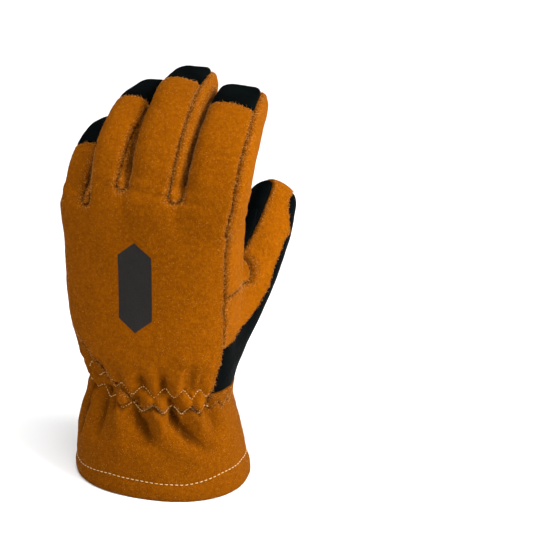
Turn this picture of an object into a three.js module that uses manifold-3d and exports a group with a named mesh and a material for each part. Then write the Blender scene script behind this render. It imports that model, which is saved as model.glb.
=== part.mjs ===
// A left-hand structural firefighting glove, standing on the hem of its cuff.
// Millimetres, +Z up to the fingers, the thumb towards +X, the back of the hand facing -Y.

import * as THREE from 'three';
import Module from 'manifold-3d';
import { mergeVertices } from 'three/addons/utils/BufferGeometryUtils.js';

// Driving dimensions

const CUFF_LENGTH = 58;          // hem to the narrowest part of the wrist
const HAND_LENGTH = 145;         // wrist to the web between the fingers
const CUFF_HALF_WIDTH = 59.5;
const CUFF_HALF_DEPTH = 49;
const PALM_HALF_WIDTH = 60.5;
const PALM_HALF_DEPTH = 30;
const INDEX_LENGTH = 118;
const MIDDLE_LENGTH = 138;
const RING_LENGTH = 130;
const LITTLE_LENGTH = 104;
const FINGER_WIDTH = 28;
const FINGER_DEPTH = 33;
const THUMB_REACH = 82;          // how far the thumb's tip stands towards the palm
const THUMB_RISE = 96;           // thumb's root to its tip, upwards
const THUMB_WIDTH = 31;
const WALL = 3;                  // leather and its liner together
const SEAM_GAP = 0.3;            // between two panels that are sewn edge to edge
const PATCH_WALL = 1.4;          // one layer of leather sewn on the palm
const CAP_LENGTH = 33;           // how far the palm leather wraps over each finger's back
const PANEL_TIP = 7;             // from a side panel's rounded end to the fingertip
const TIP_ROUND = 15;            // length of the rounded end of a finger
const GATHER_DEPTH = 2.2;        // depth of the deepest fold that the wrist elastic draws up
const HEM_HEIGHT = 11;
const HEM_SWELL = 0.7;

// How finely the faceted surfaces are divided

const BACK_SIDES = 24;
const PALM_SIDES = 12;
const LINER_BACK_SIDES = 14;
const LINER_PALM_SIDES = 7;
const FINGER_SIDES = 12;
const FINGER_LINER_SIDES = 6;
const CUFF_STEP = 9;
const HAND_STEP = 18;
const FINGER_STEP = 15;
const LINER_STEP = 22;

// Sections of the cuff and hand from the hem up.
// at: share of the cuff's or the hand's length; x, y: centre; width, back, palm: half sizes.
// Lengths are shares of the half width and half depth of the cuff or the palm.

const TRUNK_SECTIONS = [
  { zone: 'cuff', at: 0.00, x: 0.015, y: 0.02, width: 1.00, back: 1.00, palm: 1.00, round: 2.25 },
  { zone: 'cuff', at: 0.24, x: -0.01, y: 0.02, width: 0.98, back: 0.98, palm: 0.98, round: 2.25 },
  { zone: 'cuff', at: 0.55, x: -0.03, y: 0.02, width: 0.93, back: 0.91, palm: 0.96, round: 2.25 },
  { zone: 'cuff', at: 0.80, x: -0.04, y: 0.02, width: 0.87, back: 0.80, palm: 0.93, round: 2.20 },
  { zone: 'cuff', at: 1.00, x: -0.03, y: 0.02, width: 0.82, back: 0.72, palm: 0.89, round: 2.20 },
  { zone: 'hand', at: 0.055, x: -0.02, y: 0.02, width: 0.80, back: 1.12, palm: 1.42, round: 2.20 },
  { zone: 'hand', at: 0.13, x: -0.03, y: 0.00, width: 0.83, back: 1.14, palm: 1.46, round: 2.30 },
  { zone: 'hand', at: 0.25, x: -0.05, y: -0.06, width: 0.89, back: 1.12, palm: 1.46, round: 2.40 },
  { zone: 'hand', at: 0.38, x: -0.07, y: -0.13, width: 0.93, back: 1.05, palm: 1.38, round: 2.50 },
  { zone: 'hand', at: 0.53, x: -0.065, y: -0.20, width: 0.95, back: 0.97, palm: 1.22, round: 2.60 },
  { zone: 'hand', at: 0.70, x: -0.055, y: -0.26, width: 0.96, back: 0.94, palm: 1.12, round: 2.70 },
  { zone: 'hand', at: 0.84, x: -0.045, y: -0.32, width: 0.965, back: 0.91, palm: 1.02, round: 2.80 },
  { zone: 'hand', at: 0.93, x: -0.04, y: -0.40, width: 0.96, back: 0.83, palm: 0.82, round: 2.80 },
  { zone: 'hand', at: 0.975, x: -0.04, y: -0.48, width: 0.93, back: 0.70, palm: 0.58, round: 2.80 },
  { zone: 'hand', at: 1.00, x: -0.04, y: -0.58, width: 0.87, back: 0.46, palm: 0.30, round: 2.80 },
];

// Folds and gathers on the cuff and wrist: each runs straight from one point to another.
// turn: degrees round the section from +X towards the palm; at: share of the cuff's length;
// span: half width across the fold as a share of the cuff's half width; deep: share of the gather depth.

const FOLDS = [
  { turn: -96, at: 1.12, toTurn: -90, toAt: 0.80, span: 0.11, deep: -1.00 },
  { turn: -90, at: 0.80, toTurn: -74, toAt: 0.62, span: 0.11, deep: -0.70 },
  { turn: -72, at: 1.12, toTurn: -62, toAt: 0.82, span: 0.11, deep: -1.00 },
  { turn: -62, at: 0.82, toTurn: -32, toAt: 0.58, span: 0.12, deep: -0.90 },
  { turn: -82, at: 1.06, toTurn: -76, toAt: 0.76, span: 0.10, deep: 0.90 },
  { turn: -54, at: 1.08, toTurn: -46, toAt: 0.80, span: 0.10, deep: 0.80 },
  { turn: -108, at: 1.10, toTurn: -106, toAt: 0.75, span: 0.10, deep: 0.60 },
  { turn: -120, at: 1.14, toTurn: -122, toAt: 0.70, span: 0.09, deep: -0.80 },
  { turn: -132, at: 1.18, toTurn: -136, toAt: 0.65, span: 0.08, deep: 0.60 },
  { turn: -144, at: 1.22, toTurn: -150, toAt: 0.55, span: 0.08, deep: -0.80 },
  { turn: -36, at: 1.10, toTurn: -30, toAt: 0.80, span: 0.09, deep: -0.60 },
  { turn: -64, at: 1.42, toTurn: -100, toAt: 1.46, span: 0.14, deep: 0.70 },
];

// Fingers. x, y, at: where the centreline starts, as shares of the palm's half width, its half
// depth and the hand's length; lean and pitch: degrees towards the thumb and the palm at the root;
// twist: degrees that the finger is turned about itself; width, depth: shares of a finger's size;
// strip: where its side panels start, as a share of its length.

const FINGERS = {
  index: { length: INDEX_LENGTH, x: 0.58, y: -0.60, at: 0.76, lean: 6, pitch: -4, twist: 4,
    width: 1.32, depth: 1.03, strip: 0.12,
    bends: [{ from: 0.05, to: 0.30, turn: 13 }, { from: 0.33, to: 0.57, turn: 36 },
      { from: 0.63, to: 0.83, turn: 34 }] },
  middle: { length: MIDDLE_LENGTH, x: 0.015, y: -0.67, at: 0.76, lean: 2, pitch: -4, twist: -2,
    width: 1.02, depth: 1.03, strip: 0.24,
    bends: [{ from: 0.05, to: 0.28, turn: 13 }, { from: 0.30, to: 0.53, turn: 38 },
      { from: 0.59, to: 0.77, turn: 34 }] },
  ring: { length: RING_LENGTH, x: -0.45, y: -0.63, at: 0.75, lean: 1, pitch: -4, twist: -6,
    width: 0.93, depth: 1.00, strip: 0.24,
    bends: [{ from: 0.05, to: 0.28, turn: 13 }, { from: 0.30, to: 0.52, turn: 40 },
      { from: 0.58, to: 0.75, turn: 34 }] },
  little: { length: LITTLE_LENGTH, x: -0.73, y: -0.50, at: 0.69, lean: -4, pitch: -3, twist: -8,
    width: 0.90, depth: 0.88, strip: 0.28,
    bends: [{ from: 0.06, to: 0.32, turn: 15 }, { from: 0.34, to: 0.57, turn: 40 },
      { from: 0.64, to: 0.80, turn: 32 }] },
};

// Fullness along any finger, from its root to its tip.

const FINGER_FULLNESS = [
  { at: 0.00, width: 0.80, depth: 0.84 },
  { at: 0.16, width: 0.95, depth: 0.95 },
  { at: 0.34, width: 1.00, depth: 0.98 },
  { at: 0.52, width: 0.97, depth: 0.94 },
  { at: 0.74, width: 0.92, depth: 0.84 },
  { at: 1.00, width: 0.86, depth: 0.74 },
];

// Thumb centreline from inside the hand to the tip.
// x: share of the palm's half width; reach, rise: shares of the thumb's reach and rise.

const THUMB_SECTIONS = [
  { at: 0.00, x: 0.38, reach: -0.02, rise: 0.00, width: 1.75, depth: 1.12 },
  { at: 0.25, x: 0.57, reach: 0.22, rise: 0.24, width: 1.68, depth: 1.16 },
  { at: 0.50, x: 0.75, reach: 0.47, rise: 0.49, width: 1.48, depth: 1.10 },
  { at: 0.75, x: 0.88, reach: 0.72, rise: 0.74, width: 1.20, depth: 1.02 },
  { at: 1.00, x: 0.93, reach: 1.00, rise: 1.00, width: 0.98, depth: 0.92 },
];
const THUMB_ROOT_HEIGHT = 0.21;  // share of the hand's length above the wrist
const THUMB_BACK = new THREE.Vector3(0.68, -0.64, 0.34).normalize();
const THUMB_ROUND = 2.4;
const FINGER_ROUND = 2.7;
const THUMB_STRIP_START = 0.20;

// Seam directions round a section, as shares of its half sizes: side (x) and palm (y).

const TRUNK_SEAM = { back: [0.96, -0.50], palm: [0.99, 0.16] };
const WRIST_SEAM = [0.84, -0.62];
const THUMB_ROOT_SEAM = [0.88, 0.60];
const FINGER_SEAM = { back: [0.90, -0.55], palm: [0.92, 0.42] };
const THUMB_SEAM = [0.62, 0.66];

// Heights of the seams across the hand, as shares of the hand's length above the wrist.

const BACK_EDGE = 0.03;          // lower edge of the back panel over the elastic
const WING = [                   // the cuff's wing up the little-finger side, as x and height
  [-0.12, BACK_EDGE],
  [-0.41, 0.129],
  [-0.68, 0.241],
  [-0.93, 0.335],
];
const PALM_CUFF_INNER = 0.07;    // top edge of the palm side of the cuff, thumb side
const PALM_CUFF_OUTER = 0.02;    // and at the little-finger side
const LOBE_BACK = 0.53;          // lower end of the index side panel at its back seam
const LOBE_PALM = 0.62;          // and at its palm seam
const WRIST_POINT = 0.26;        // lower point of the thumb panel at the back seam
const WRIST_RISE = 0.065;        // how much higher that edge stands at the palm seam
const THUMB_RISE_EDGE = 0.155;   // and under the root of the thumb
const CUFF_SEAM_TURN = 22;       // degrees from +X or -X towards the palm
const SIDE_TOP = 0.93;           // where the side panels end and the fingers' roots begin
const LOBE_TURN = -0.55;         // depth at which the side seams leave the back, in half depths
const LOBE_END = 0.15;           // and depth at which they reach the palm

// The webs between the fingers: half widths and depths that they take of a finger's own,
// their front in half depths of the palm, and their top

const WEB_INNER = 0.30;
const WEB_BACK = 0.34;
const WEB_FRONT = -0.12;
const WEB_TOP = 1.06;

// Rounded ends of the fingers and thumb: sections as shares of the end's length, the power
// of its curve, and the share of the width that is left at the very tip

const TIP_STATIONS = [0.45, 0.75, 0.93, 0.985];
const TIP_CURVE = 2.4;
const TIP_BLUNT = 0.2;
const GATHER_TOP = 1.2;          // top of the finely divided sections, in cuff lengths

const COLOURS = { suede: 0xb8690f, gathered: 0xa85e10, leather: 0x14161a };

const DEGREE = Math.PI / 180;
const REACH = 2.5 * PALM_HALF_WIDTH;   // past every section, for the solids that only cut
const SLACK = 0.4;               // how far a cutting region stands proud of the surface it follows
const RIGHT = new THREE.Vector3(1, 0, 0);

const wasm = await Module();
wasm.setup();

// Smooth interpolation of one column of a table of rows ordered by their place

function slope(rows, column, i) {
  const before = rows[Math.max(i - 1, 0)];
  const after = rows[Math.min(i + 1, rows.length - 1)];
  return (after[column] - before[column]) / (after.at - before.at);
}

function tableValue(rows, column, at) {
  if (at <= rows[0].at) return rows[0][column];
  if (at >= rows.at(-1).at) return rows.at(-1)[column];
  let i = 0;
  while (rows[i + 1].at < at) i += 1;
  const step = rows[i + 1].at - rows[i].at;
  const t = (at - rows[i].at) / step;
  const start = (1 + 2 * t) * (1 - t) ** 2 * rows[i][column];
  const end = t * t * (3 - 2 * t) * rows[i + 1][column];
  const leave = t * (1 - t) ** 2 * step * slope(rows, column, i);
  const arrive = t * t * (t - 1) * step * slope(rows, column, i + 1);
  return start + end + leave + arrive;
}

// Solids and booleans

function toSolid(geometry) {
  const bare = new THREE.BufferGeometry();
  bare.setAttribute('position', geometry.getAttribute('position').clone());
  bare.setIndex(geometry.getIndex());
  const merged = mergeVertices(bare, 1e-4);
  return new wasm.Manifold(new wasm.Mesh({
    numProp: 3,
    vertProperties: new Float32Array(merged.getAttribute('position').array),
    triVerts: new Uint32Array(merged.getIndex().array),
  }));
}

function toMesh(name, solid, colour, roughness) {
  const body = solid.decompose().sort((a, b) => b.volume() - a.volume())[0];
  const mesh = body.getMesh();
  const geometry = new THREE.BufferGeometry();
  geometry.setAttribute('position', new THREE.Float32BufferAttribute(mesh.vertProperties, 3));
  geometry.setIndex(new THREE.Uint32BufferAttribute(mesh.triVerts, 1));
  geometry.computeVertexNormals();
  const material = new THREE.MeshStandardMaterial({ color: colour, roughness, metalness: 0 });
  const node = new THREE.Mesh(geometry, material);
  node.name = name;
  return node;
}

function join(solids) {
  return solids.reduce((all, solid) => all.add(solid));
}

// A closed loft through loops of as many points, with a fan over each end

function loft(loops) {
  const count = loops[0].length;
  const points = loops.flat();
  const faces = [];
  for (let k = 0; k + 1 < loops.length; k += 1) {
    for (let i = 0; i < count; i += 1) {
      const j = (i + 1) % count;
      const low = k * count;
      const high = low + count;
      faces.push(low + i, low + j, high + j, low + i, high + j, high + i);
    }
  }
  for (const [loop, first, flip] of [[loops[0], 0, true], [loops.at(-1), points.length - count, false]]) {
    const centre = loop.reduce((sum, p) => sum.add(p), new THREE.Vector3()).divideScalar(count);
    points.push(centre);
    for (let i = 0; i < count; i += 1) {
      const j = (i + 1) % count;
      faces.push(points.length - 1, first + (flip ? j : i), first + (flip ? i : j));
    }
  }
  const geometry = new THREE.BufferGeometry().setFromPoints(points);
  geometry.setIndex(faces);
  return toSolid(geometry);
}

function box(low, high) {
  const geometry = new THREE.BoxGeometry(high.x - low.x, high.y - low.y, high.z - low.z);
  geometry.translate((low.x + high.x) / 2, (low.y + high.y) / 2, (low.z + high.z) / 2);
  return toSolid(geometry);
}

// A prism across the whole glove, drawn as an outline in the X-Z plane, between two depths

function frontPrism(outline, nearY, farY) {
  const shape = new THREE.Shape(outline.map(([x, z]) => new THREE.Vector2(x, z)));
  const geometry = new THREE.ExtrudeGeometry(shape, { depth: farY - nearY, bevelEnabled: false });
  geometry.rotateX(Math.PI / 2);
  geometry.translate(0, farY, 0);
  return toSolid(geometry);
}

// A prism from the side, drawn as an outline in the Y-Z plane, between two widths

function sidePrism(outline, nearX, farX) {
  const shape = new THREE.Shape(outline.map(([y, z]) => new THREE.Vector2(y, z)));
  const geometry = new THREE.ExtrudeGeometry(shape, { depth: farX - nearX, bevelEnabled: false });
  geometry.applyMatrix4(new THREE.Matrix4().makeBasis(
    new THREE.Vector3(0, 1, 0), new THREE.Vector3(0, 0, 1), new THREE.Vector3(1, 0, 0)));
  geometry.translate(nearX, 0, 0);
  return toSolid(geometry);
}

// Superellipse point at a parameter angle, with half sizes a and b

function superPoint(a, b, round, turn) {
  const c = Math.cos(turn);
  const s = Math.sin(turn);
  return [
    a * Math.sign(c) * Math.abs(c) ** (2 / round),
    b * Math.sign(s) * Math.abs(s) ** (2 / round),
  ];
}

// Cuff and hand

function handHeight(share) {
  return CUFF_LENGTH + share * HAND_LENGTH;
}

const TRUNK = TRUNK_SECTIONS.map((row) => {
  const cuff = row.zone === 'cuff';
  const width = cuff ? CUFF_HALF_WIDTH : PALM_HALF_WIDTH;
  const depth = cuff ? CUFF_HALF_DEPTH : PALM_HALF_DEPTH;
  return {
    at: cuff ? row.at * CUFF_LENGTH : handHeight(row.at),
    x: row.x * width,
    y: row.y * depth,
    width: row.width * width,
    back: row.back * depth,
    palm: row.palm * depth,
    round: row.round,
  };
});
const TOP = TRUNK.at(-1).at;

function trunkSection(z) {
  const section = {};
  for (const column of ['x', 'y', 'width', 'back', 'palm', 'round']) {
    section[column] = tableValue(TRUNK, column, z);
  }
  return section;
}

// Height of the folds at one place on the cuff

function foldHeight(turn, z) {
  let height = 0;
  for (const fold of FOLDS) {
    const ax = fold.turn * DEGREE * CUFF_HALF_WIDTH;
    const az = fold.at * CUFF_LENGTH;
    const dx = (fold.toTurn - fold.turn) * DEGREE * CUFF_HALF_WIDTH;
    const dz = (fold.toAt - fold.at) * CUFF_LENGTH;
    const px = turn * CUFF_HALF_WIDTH - ax;
    const pz = z - az;
    const along = THREE.MathUtils.clamp((px * dx + pz * dz) / (dx * dx + dz * dz), 0, 1);
    const away = Math.hypot(px - along * dx, pz - along * dz) / (fold.span * CUFF_HALF_WIDTH);
    height += fold.deep * GATHER_DEPTH * Math.exp(-away * away);
  }
  return height;
}

// The turned hem swells a little and is drawn in along its stitching

function hemHeight(z) {
  const along = z / HEM_HEIGHT;
  return along < 1 ? HEM_SWELL * Math.sin(Math.PI * Math.max(along, 0)) : 0;
}

function trunkLoop(z, backSides, palmSides, out) {
  const section = trunkSection(Math.max(z, 0));
  const lined = out < 0;
  const loop = [];
  for (let i = 0; i < backSides + palmSides; i += 1) {
    const turn = i < backSides ? (i / backSides - 1) * Math.PI : ((i - backSides) / palmSides) * Math.PI;
    const depth = turn > 0 ? section.palm : section.back;
    const fold = foldHeight(turn, z);
    const grow = out + (lined ? Math.min(fold, 0) : fold + hemHeight(z));
    const [x, y] = superPoint(section.width + grow, depth + grow, section.round, turn);
    loop.push(new THREE.Vector3(section.x + x, section.y + y, z));
  }
  return loop;
}

function evenly(from, to, step) {
  const steps = Math.max(Math.round((to - from) / step), 1);
  return Array.from({ length: steps }, (unused, i) => from + ((to - from) * i) / steps);
}

function trunkHeights(top, cuffStep, handStep) {
  const gathered = GATHER_TOP * CUFF_LENGTH;
  const sides = handHeight(SIDE_TOP);
  return [
    ...evenly(0, gathered, cuffStep),
    ...evenly(gathered, sides, handStep),
    sides, (sides + top) / 2, top,
  ];
}

function trunkSolid(out, backSides, palmSides, heights) {
  return loft(heights.map((z) => trunkLoop(z, backSides, palmSides, out)));
}

// The places of the surface's own loops that lie between two ends, with the ends

function between(places, start, end) {
  const clear = 1;
  return [start, ...places.filter((at) => at > start + clear && at < end - clear), end];
}

// A slice of the trunk between two directions round its sections, drawn in by a little at both

function wedgeLoop(place, from, to, inset, reach) {
  const turnFrom = Math.atan2(from[1], from[0]);
  let turnTo = Math.atan2(to[1], to[0]);
  if (turnTo < turnFrom) turnTo += 2 * Math.PI;
  const middle = (turnFrom + turnTo) / 2;
  const back = inset / Math.sin((turnTo - turnFrom) / 2);
  const corners = [[back * Math.cos(middle), back * Math.sin(middle)]];
  for (const share of [0, 0.25, 0.5, 0.75, 1]) {
    const turn = turnFrom + share * (turnTo - turnFrom);
    const lean = share === 0 ? inset : share === 1 ? -inset : 0;
    corners.push([
      reach * Math.cos(turn) - lean * Math.sin(turn),
      reach * Math.sin(turn) + lean * Math.cos(turn),
    ]);
  }
  return corners.map(([u, v]) => place(u, v));
}

// The back seam turns in towards the wrist

function backSeam(z) {
  const low = handHeight(BACK_EDGE);
  const high = handHeight(WRIST_POINT);
  const t = THREE.MathUtils.clamp((z - low) / (high - low), 0, 1);
  return WRIST_SEAM.map((share, i) => share + t * (TRUNK_SEAM.back[i] - share));
}

function trunkWedge(from, to, inset, bottom, top) {
  return loft(between(trunkHeights(TOP, CUFF_STEP, HAND_STEP), bottom, top).map((z) => {
    const s = trunkSection(z);
    const direction = (seam) => {
      const [x, y] = typeof seam === 'function' ? seam(z) : seam;
      return [x * s.width, y * (y > 0 ? s.palm : s.back)];
    };
    const place = (u, v) => new THREE.Vector3(s.x + u, s.y + v, z);
    return wedgeLoop(place, direction(from), direction(to), inset, REACH);
  }));
}

// Fingers

function fingerFrames(finger, stations) {
  const lean = finger.lean * DEGREE;
  const pitch = finger.pitch * DEGREE;
  const along = new THREE.Vector3(
    Math.sin(lean) * Math.cos(pitch), Math.sin(pitch), Math.cos(lean) * Math.cos(pitch));
  const side = RIGHT.clone().addScaledVector(along, -along.dot(RIGHT)).normalize();
  const palm = new THREE.Vector3().crossVectors(along, side);
  side.applyAxisAngle(along, finger.twist * DEGREE);
  palm.applyAxisAngle(along, finger.twist * DEGREE);
  const point = new THREE.Vector3(
    finger.x * PALM_HALF_WIDTH, finger.y * PALM_HALF_DEPTH, handHeight(finger.at));
  const frames = [];
  const fine = 1;
  let s = 0;
  for (const station of stations) {
    while (s < station) {
      const step = Math.min(fine, station - s);
      for (const bend of finger.bends) {
        const from = Math.max(s, bend.from * finger.length);
        const to = Math.min(s + step, bend.to * finger.length);
        const share = Math.max(to - from, 0) / ((bend.to - bend.from) * finger.length);
        along.applyAxisAngle(side, -bend.turn * DEGREE * share);
        palm.applyAxisAngle(side, -bend.turn * DEGREE * share);
      }
      point.addScaledVector(along, step);
      s += step;
    }
    frames.push({ s, point: point.clone(), side: side.clone(), palm: palm.clone() });
  }
  return frames;
}

function stationsTo(end, step) {
  const straight = end - TIP_ROUND;
  const steps = Math.round(straight / step);
  const stations = [];
  for (let i = 0; i <= steps; i += 1) stations.push((straight * i) / steps);
  for (const share of TIP_STATIONS) stations.push(straight + share * TIP_ROUND);
  return stations;
}

function tipShare(s, end) {
  const into = THREE.MathUtils.clamp((s - (end - TIP_ROUND)) / TIP_ROUND, 0, 1);
  return Math.sqrt(1 - into ** TIP_CURVE);
}

function fingerSize(finger, s, end, out) {
  const at = s / finger.length;
  const tip = tipShare(s, end);
  const width = (finger.width * FINGER_WIDTH * tableValue(FINGER_FULLNESS, 'width', at)) / 2 + out;
  const depth = (finger.depth * FINGER_DEPTH * tableValue(FINGER_FULLNESS, 'depth', at)) / 2 + out;
  return [width * (TIP_BLUNT + (1 - TIP_BLUNT) * tip), depth * tip];
}

function sectionLoop(frame, size, round, sides) {
  const loop = [];
  for (let i = 0; i < sides; i += 1) {
    const [u, v] = superPoint(size[0], size[1], round, (i / sides) * 2 * Math.PI);
    loop.push(frame.point.clone().addScaledVector(frame.side, u).addScaledVector(frame.palm, v));
  }
  return loop;
}

function fingerSolid(finger, out, sides, step) {
  const end = finger.length + out;
  const frames = fingerFrames(finger, stationsTo(end, step));
  return loft(frames.map((frame) => sectionLoop(frame, fingerSize(finger, frame.s, end, out), FINGER_ROUND, sides)));
}

// A slice along a finger between two directions round its section

function fingerWedge(finger, from, to, inset, start, end) {
  const stations = between(stationsTo(finger.length, FINGER_STEP), start, end);
  return loft(fingerFrames(finger, stations).map((frame) => {
    const size = fingerSize(finger, Math.min(frame.s, finger.length - TIP_ROUND), finger.length, 0);
    const direction = ([x, y]) => [x * size[0], y * size[1]];
    const place = (u, v) => frame.point.clone().addScaledVector(frame.side, u).addScaledVector(frame.palm, v);
    return wedgeLoop(place, direction(from), direction(to), inset, FINGER_DEPTH);
  }));
}

function mirrored([x, y]) {
  return [-x, y];
}

// side is 1 on the thumb side of a finger and -1 on the other; grow widens the region all round

function fingerSideRegion(finger, side, grow) {
  const near = FINGER_SEAM.back;
  const far = FINGER_SEAM.palm;
  const [from, to] = side > 0 ? [near, far] : [mirrored(far), mirrored(near)];
  const start = finger.strip * finger.length - grow;
  const end = finger.length - PANEL_TIP + grow;
  const wedge = fingerWedge(finger, from, to, -grow, start, end);
  return wedge.intersect(fingerSolid(finger, SLACK, FINGER_SIDES, FINGER_STEP));
}

function fingerBackRegion(finger, grow) {
  const near = FINGER_SEAM.back;
  const end = finger.length - CAP_LENGTH + grow;
  const wedge = fingerWedge(finger, mirrored(near), near, -grow, 0, end);
  return wedge.intersect(fingerSolid(finger, SLACK, FINGER_SIDES, FINGER_STEP));
}

// Thumb

function thumbPoint(at) {
  return new THREE.Vector3(
    tableValue(THUMB_SECTIONS, 'x', at) * PALM_HALF_WIDTH,
    tableValue(THUMB_SECTIONS, 'reach', at) * THUMB_REACH,
    handHeight(THUMB_ROOT_HEIGHT) + tableValue(THUMB_SECTIONS, 'rise', at) * THUMB_RISE);
}

const THUMB_LENGTH = (() => {
  let length = 0;
  const steps = 40;
  for (let i = 0; i < steps; i += 1) length += thumbPoint(i / steps).distanceTo(thumbPoint((i + 1) / steps));
  return length;
})();

function thumbFrame(s) {
  const at = Math.min(s / THUMB_LENGTH, 1);
  const near = thumbPoint(Math.max(at - 0.02, 0));
  const far = thumbPoint(Math.min(at + 0.02, 1));
  const along = far.sub(near).normalize();
  const side = THUMB_BACK.clone().addScaledVector(along, -along.dot(THUMB_BACK)).normalize();
  const palm = new THREE.Vector3().crossVectors(along, side);
  const point = thumbPoint(at).addScaledVector(along, Math.max(s - THUMB_LENGTH, 0));
  return { s, point, side, palm };
}

function thumbSize(s, end, out) {
  const at = s / THUMB_LENGTH;
  const tip = tipShare(s, end);
  const width = (THUMB_WIDTH * tableValue(THUMB_SECTIONS, 'width', at)) / 2 + out;
  const depth = (THUMB_WIDTH * tableValue(THUMB_SECTIONS, 'depth', at)) / 2 + out;
  return [depth * tip, width * (TIP_BLUNT + (1 - TIP_BLUNT) * tip)];
}

function thumbSolid(out, sides, step) {
  const end = THUMB_LENGTH + out;
  const frames = stationsTo(end, step).map(thumbFrame);
  return loft(frames.map((frame) => sectionLoop(frame, thumbSize(frame.s, end, out), THUMB_ROUND, sides)));
}

function thumbBackRegion(grow) {
  const start = THUMB_STRIP_START * THUMB_LENGTH - grow;
  const end = THUMB_LENGTH - PANEL_TIP + grow;
  const loops = [];
  for (const s of between(stationsTo(THUMB_LENGTH, FINGER_STEP), start, end)) {
    const frame = thumbFrame(s);
    const size = thumbSize(Math.min(frame.s, THUMB_LENGTH - TIP_ROUND), THUMB_LENGTH, 0);
    const edge = [THUMB_SEAM[0] * size[0], THUMB_SEAM[1] * size[1]];
    const place = (u, v) => frame.point.clone().addScaledVector(frame.side, u).addScaledVector(frame.palm, v);
    loops.push(wedgeLoop(place, [edge[0], -edge[1]], edge, -grow, 1.5 * THUMB_WIDTH));
  }
  return loft(loops).intersect(thumbSolid(SLACK, FINGER_SIDES, FINGER_STEP));
}

// The whole leather shell, open at the hem

const fingerList = Object.values(FINGERS);
const outside = join([
  trunkSolid(0, BACK_SIDES, PALM_SIDES, trunkHeights(TOP, CUFF_STEP, HAND_STEP)),
  ...fingerList.map((finger) => fingerSolid(finger, 0, FINGER_SIDES, FINGER_STEP)),
  thumbSolid(0, FINGER_SIDES, FINGER_STEP),
]);
const inside = join([
  trunkSolid(-WALL, LINER_BACK_SIDES, LINER_PALM_SIDES, [-WALL, ...trunkHeights(TOP - WALL, CUFF_STEP, LINER_STEP)]),
  ...fingerList.map((finger) => fingerSolid(finger, -WALL, FINGER_LINER_SIDES, LINER_STEP)),
  thumbSolid(-WALL, FINGER_LINER_SIDES, LINER_STEP),
]);
const shell = outside.subtract(inside);

// Regions of the panels. grow is half the seam gap for a region that cuts its neighbours,
// and minus half for the panel itself.

function webRegion(first, second, grow) {
  const inner = (finger) => WEB_INNER * finger.width * FINGER_WIDTH;
  const back = (finger) => finger.y * PALM_HALF_DEPTH - WEB_BACK * finger.depth * FINGER_DEPTH;
  const low = new THREE.Vector3(
    first.x * PALM_HALF_WIDTH + inner(first), Math.max(back(first), back(second)), handHeight(SIDE_TOP));
  const high = new THREE.Vector3(
    second.x * PALM_HALF_WIDTH - inner(second), WEB_FRONT * PALM_HALF_DEPTH, handHeight(WEB_TOP));
  return box(low.addScalar(-grow), high.addScalar(grow));
}

function fourchetteRegion(first, second, grow) {
  return join([
    fingerSideRegion(first, 1, grow),
    fingerSideRegion(second, -1, grow),
    webRegion(first, second, grow),
  ]);
}

function trunkSideRegion(side, palmSeam, grow, bottom) {
  const otherSeam = (z) => mirrored(backSeam(z));
  const [from, to] = side > 0 ? [backSeam, palmSeam] : [mirrored(palmSeam), otherSeam];
  return trunkWedge(from, to, -grow, bottom, handHeight(SIDE_TOP));
}

// The end of the index side panel slopes from the back seam up to the palm seam

function lobeOutline(grow, above) {
  const back = [-REACH, handHeight(LOBE_BACK) - grow];
  const turn = [LOBE_TURN * PALM_HALF_DEPTH, handHeight(LOBE_BACK) - grow];
  const palm = [LOBE_END * PALM_HALF_DEPTH, handHeight(LOBE_PALM) - grow];
  const far = [REACH, handHeight(LOBE_PALM) - grow];
  const level = above ? TOP + REACH : -REACH;
  return [back, turn, palm, far, [REACH, level], [-REACH, level]];
}

function indexSideRegion(grow) {
  const lobe = sidePrism(lobeOutline(grow, true), 0, REACH);
  const trunkPart = trunkSideRegion(1, TRUNK_SEAM.palm, grow, handHeight(0.4)).intersect(lobe);
  return trunkPart.add(fingerSideRegion(FINGERS.index, 1, grow));
}

function littleSideRegion(grow) {
  const bottom = handHeight(WING.at(-1)[1]) - grow;
  const trunkPart = trunkSideRegion(-1, TRUNK_SEAM.palm, grow, bottom);
  return trunkPart.add(fingerSideRegion(FINGERS.little, -1, grow));
}

function thumbPanelRegion(grow) {
  const point = handHeight(WRIST_POINT) - grow;
  const edge = sidePrism([
    [-REACH, point],
    [LOBE_TURN * PALM_HALF_DEPTH, point],
    [LOBE_END * PALM_HALF_DEPTH, point + WRIST_RISE * HAND_LENGTH],
    [PALM_HALF_DEPTH, point + THUMB_RISE_EDGE * HAND_LENGTH],
    [REACH, point + THUMB_RISE_EDGE * HAND_LENGTH],
    [REACH, TOP + REACH],
    [-REACH, TOP + REACH],
  ], 0, REACH);
  const below = sidePrism(lobeOutline(-grow, false), 0, REACH);
  const side = trunkSideRegion(1, THUMB_ROOT_SEAM, grow, handHeight(0.1));
  const trunkPart = side.intersect(below).intersect(edge);
  return trunkPart.add(thumbBackRegion(grow).intersect(edge));
}

// Back of the cuff, with the wing that runs up the little-finger side

function cuffBackRegion(grow) {
  const wing = WING.map(([x, at]) => [x * PALM_HALF_WIDTH, handHeight(at) + grow]);
  const outline = [
    [-REACH, -REACH], [REACH, -REACH], [REACH, wing[0][1]],
    ...wing, [-REACH, wing.at(-1)[1]],
  ];
  return frontPrism(outline, -REACH, REACH).intersect(cuffSideWedge(grow));
}

function cuffSideWedge(grow) {
  const turn = CUFF_SEAM_TURN * DEGREE;
  const from = [-Math.cos(turn), Math.sin(turn)];
  const to = [Math.cos(turn), Math.sin(turn)];
  return trunkWedge(from, to, -grow, -WALL, handHeight(0.5));
}

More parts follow.
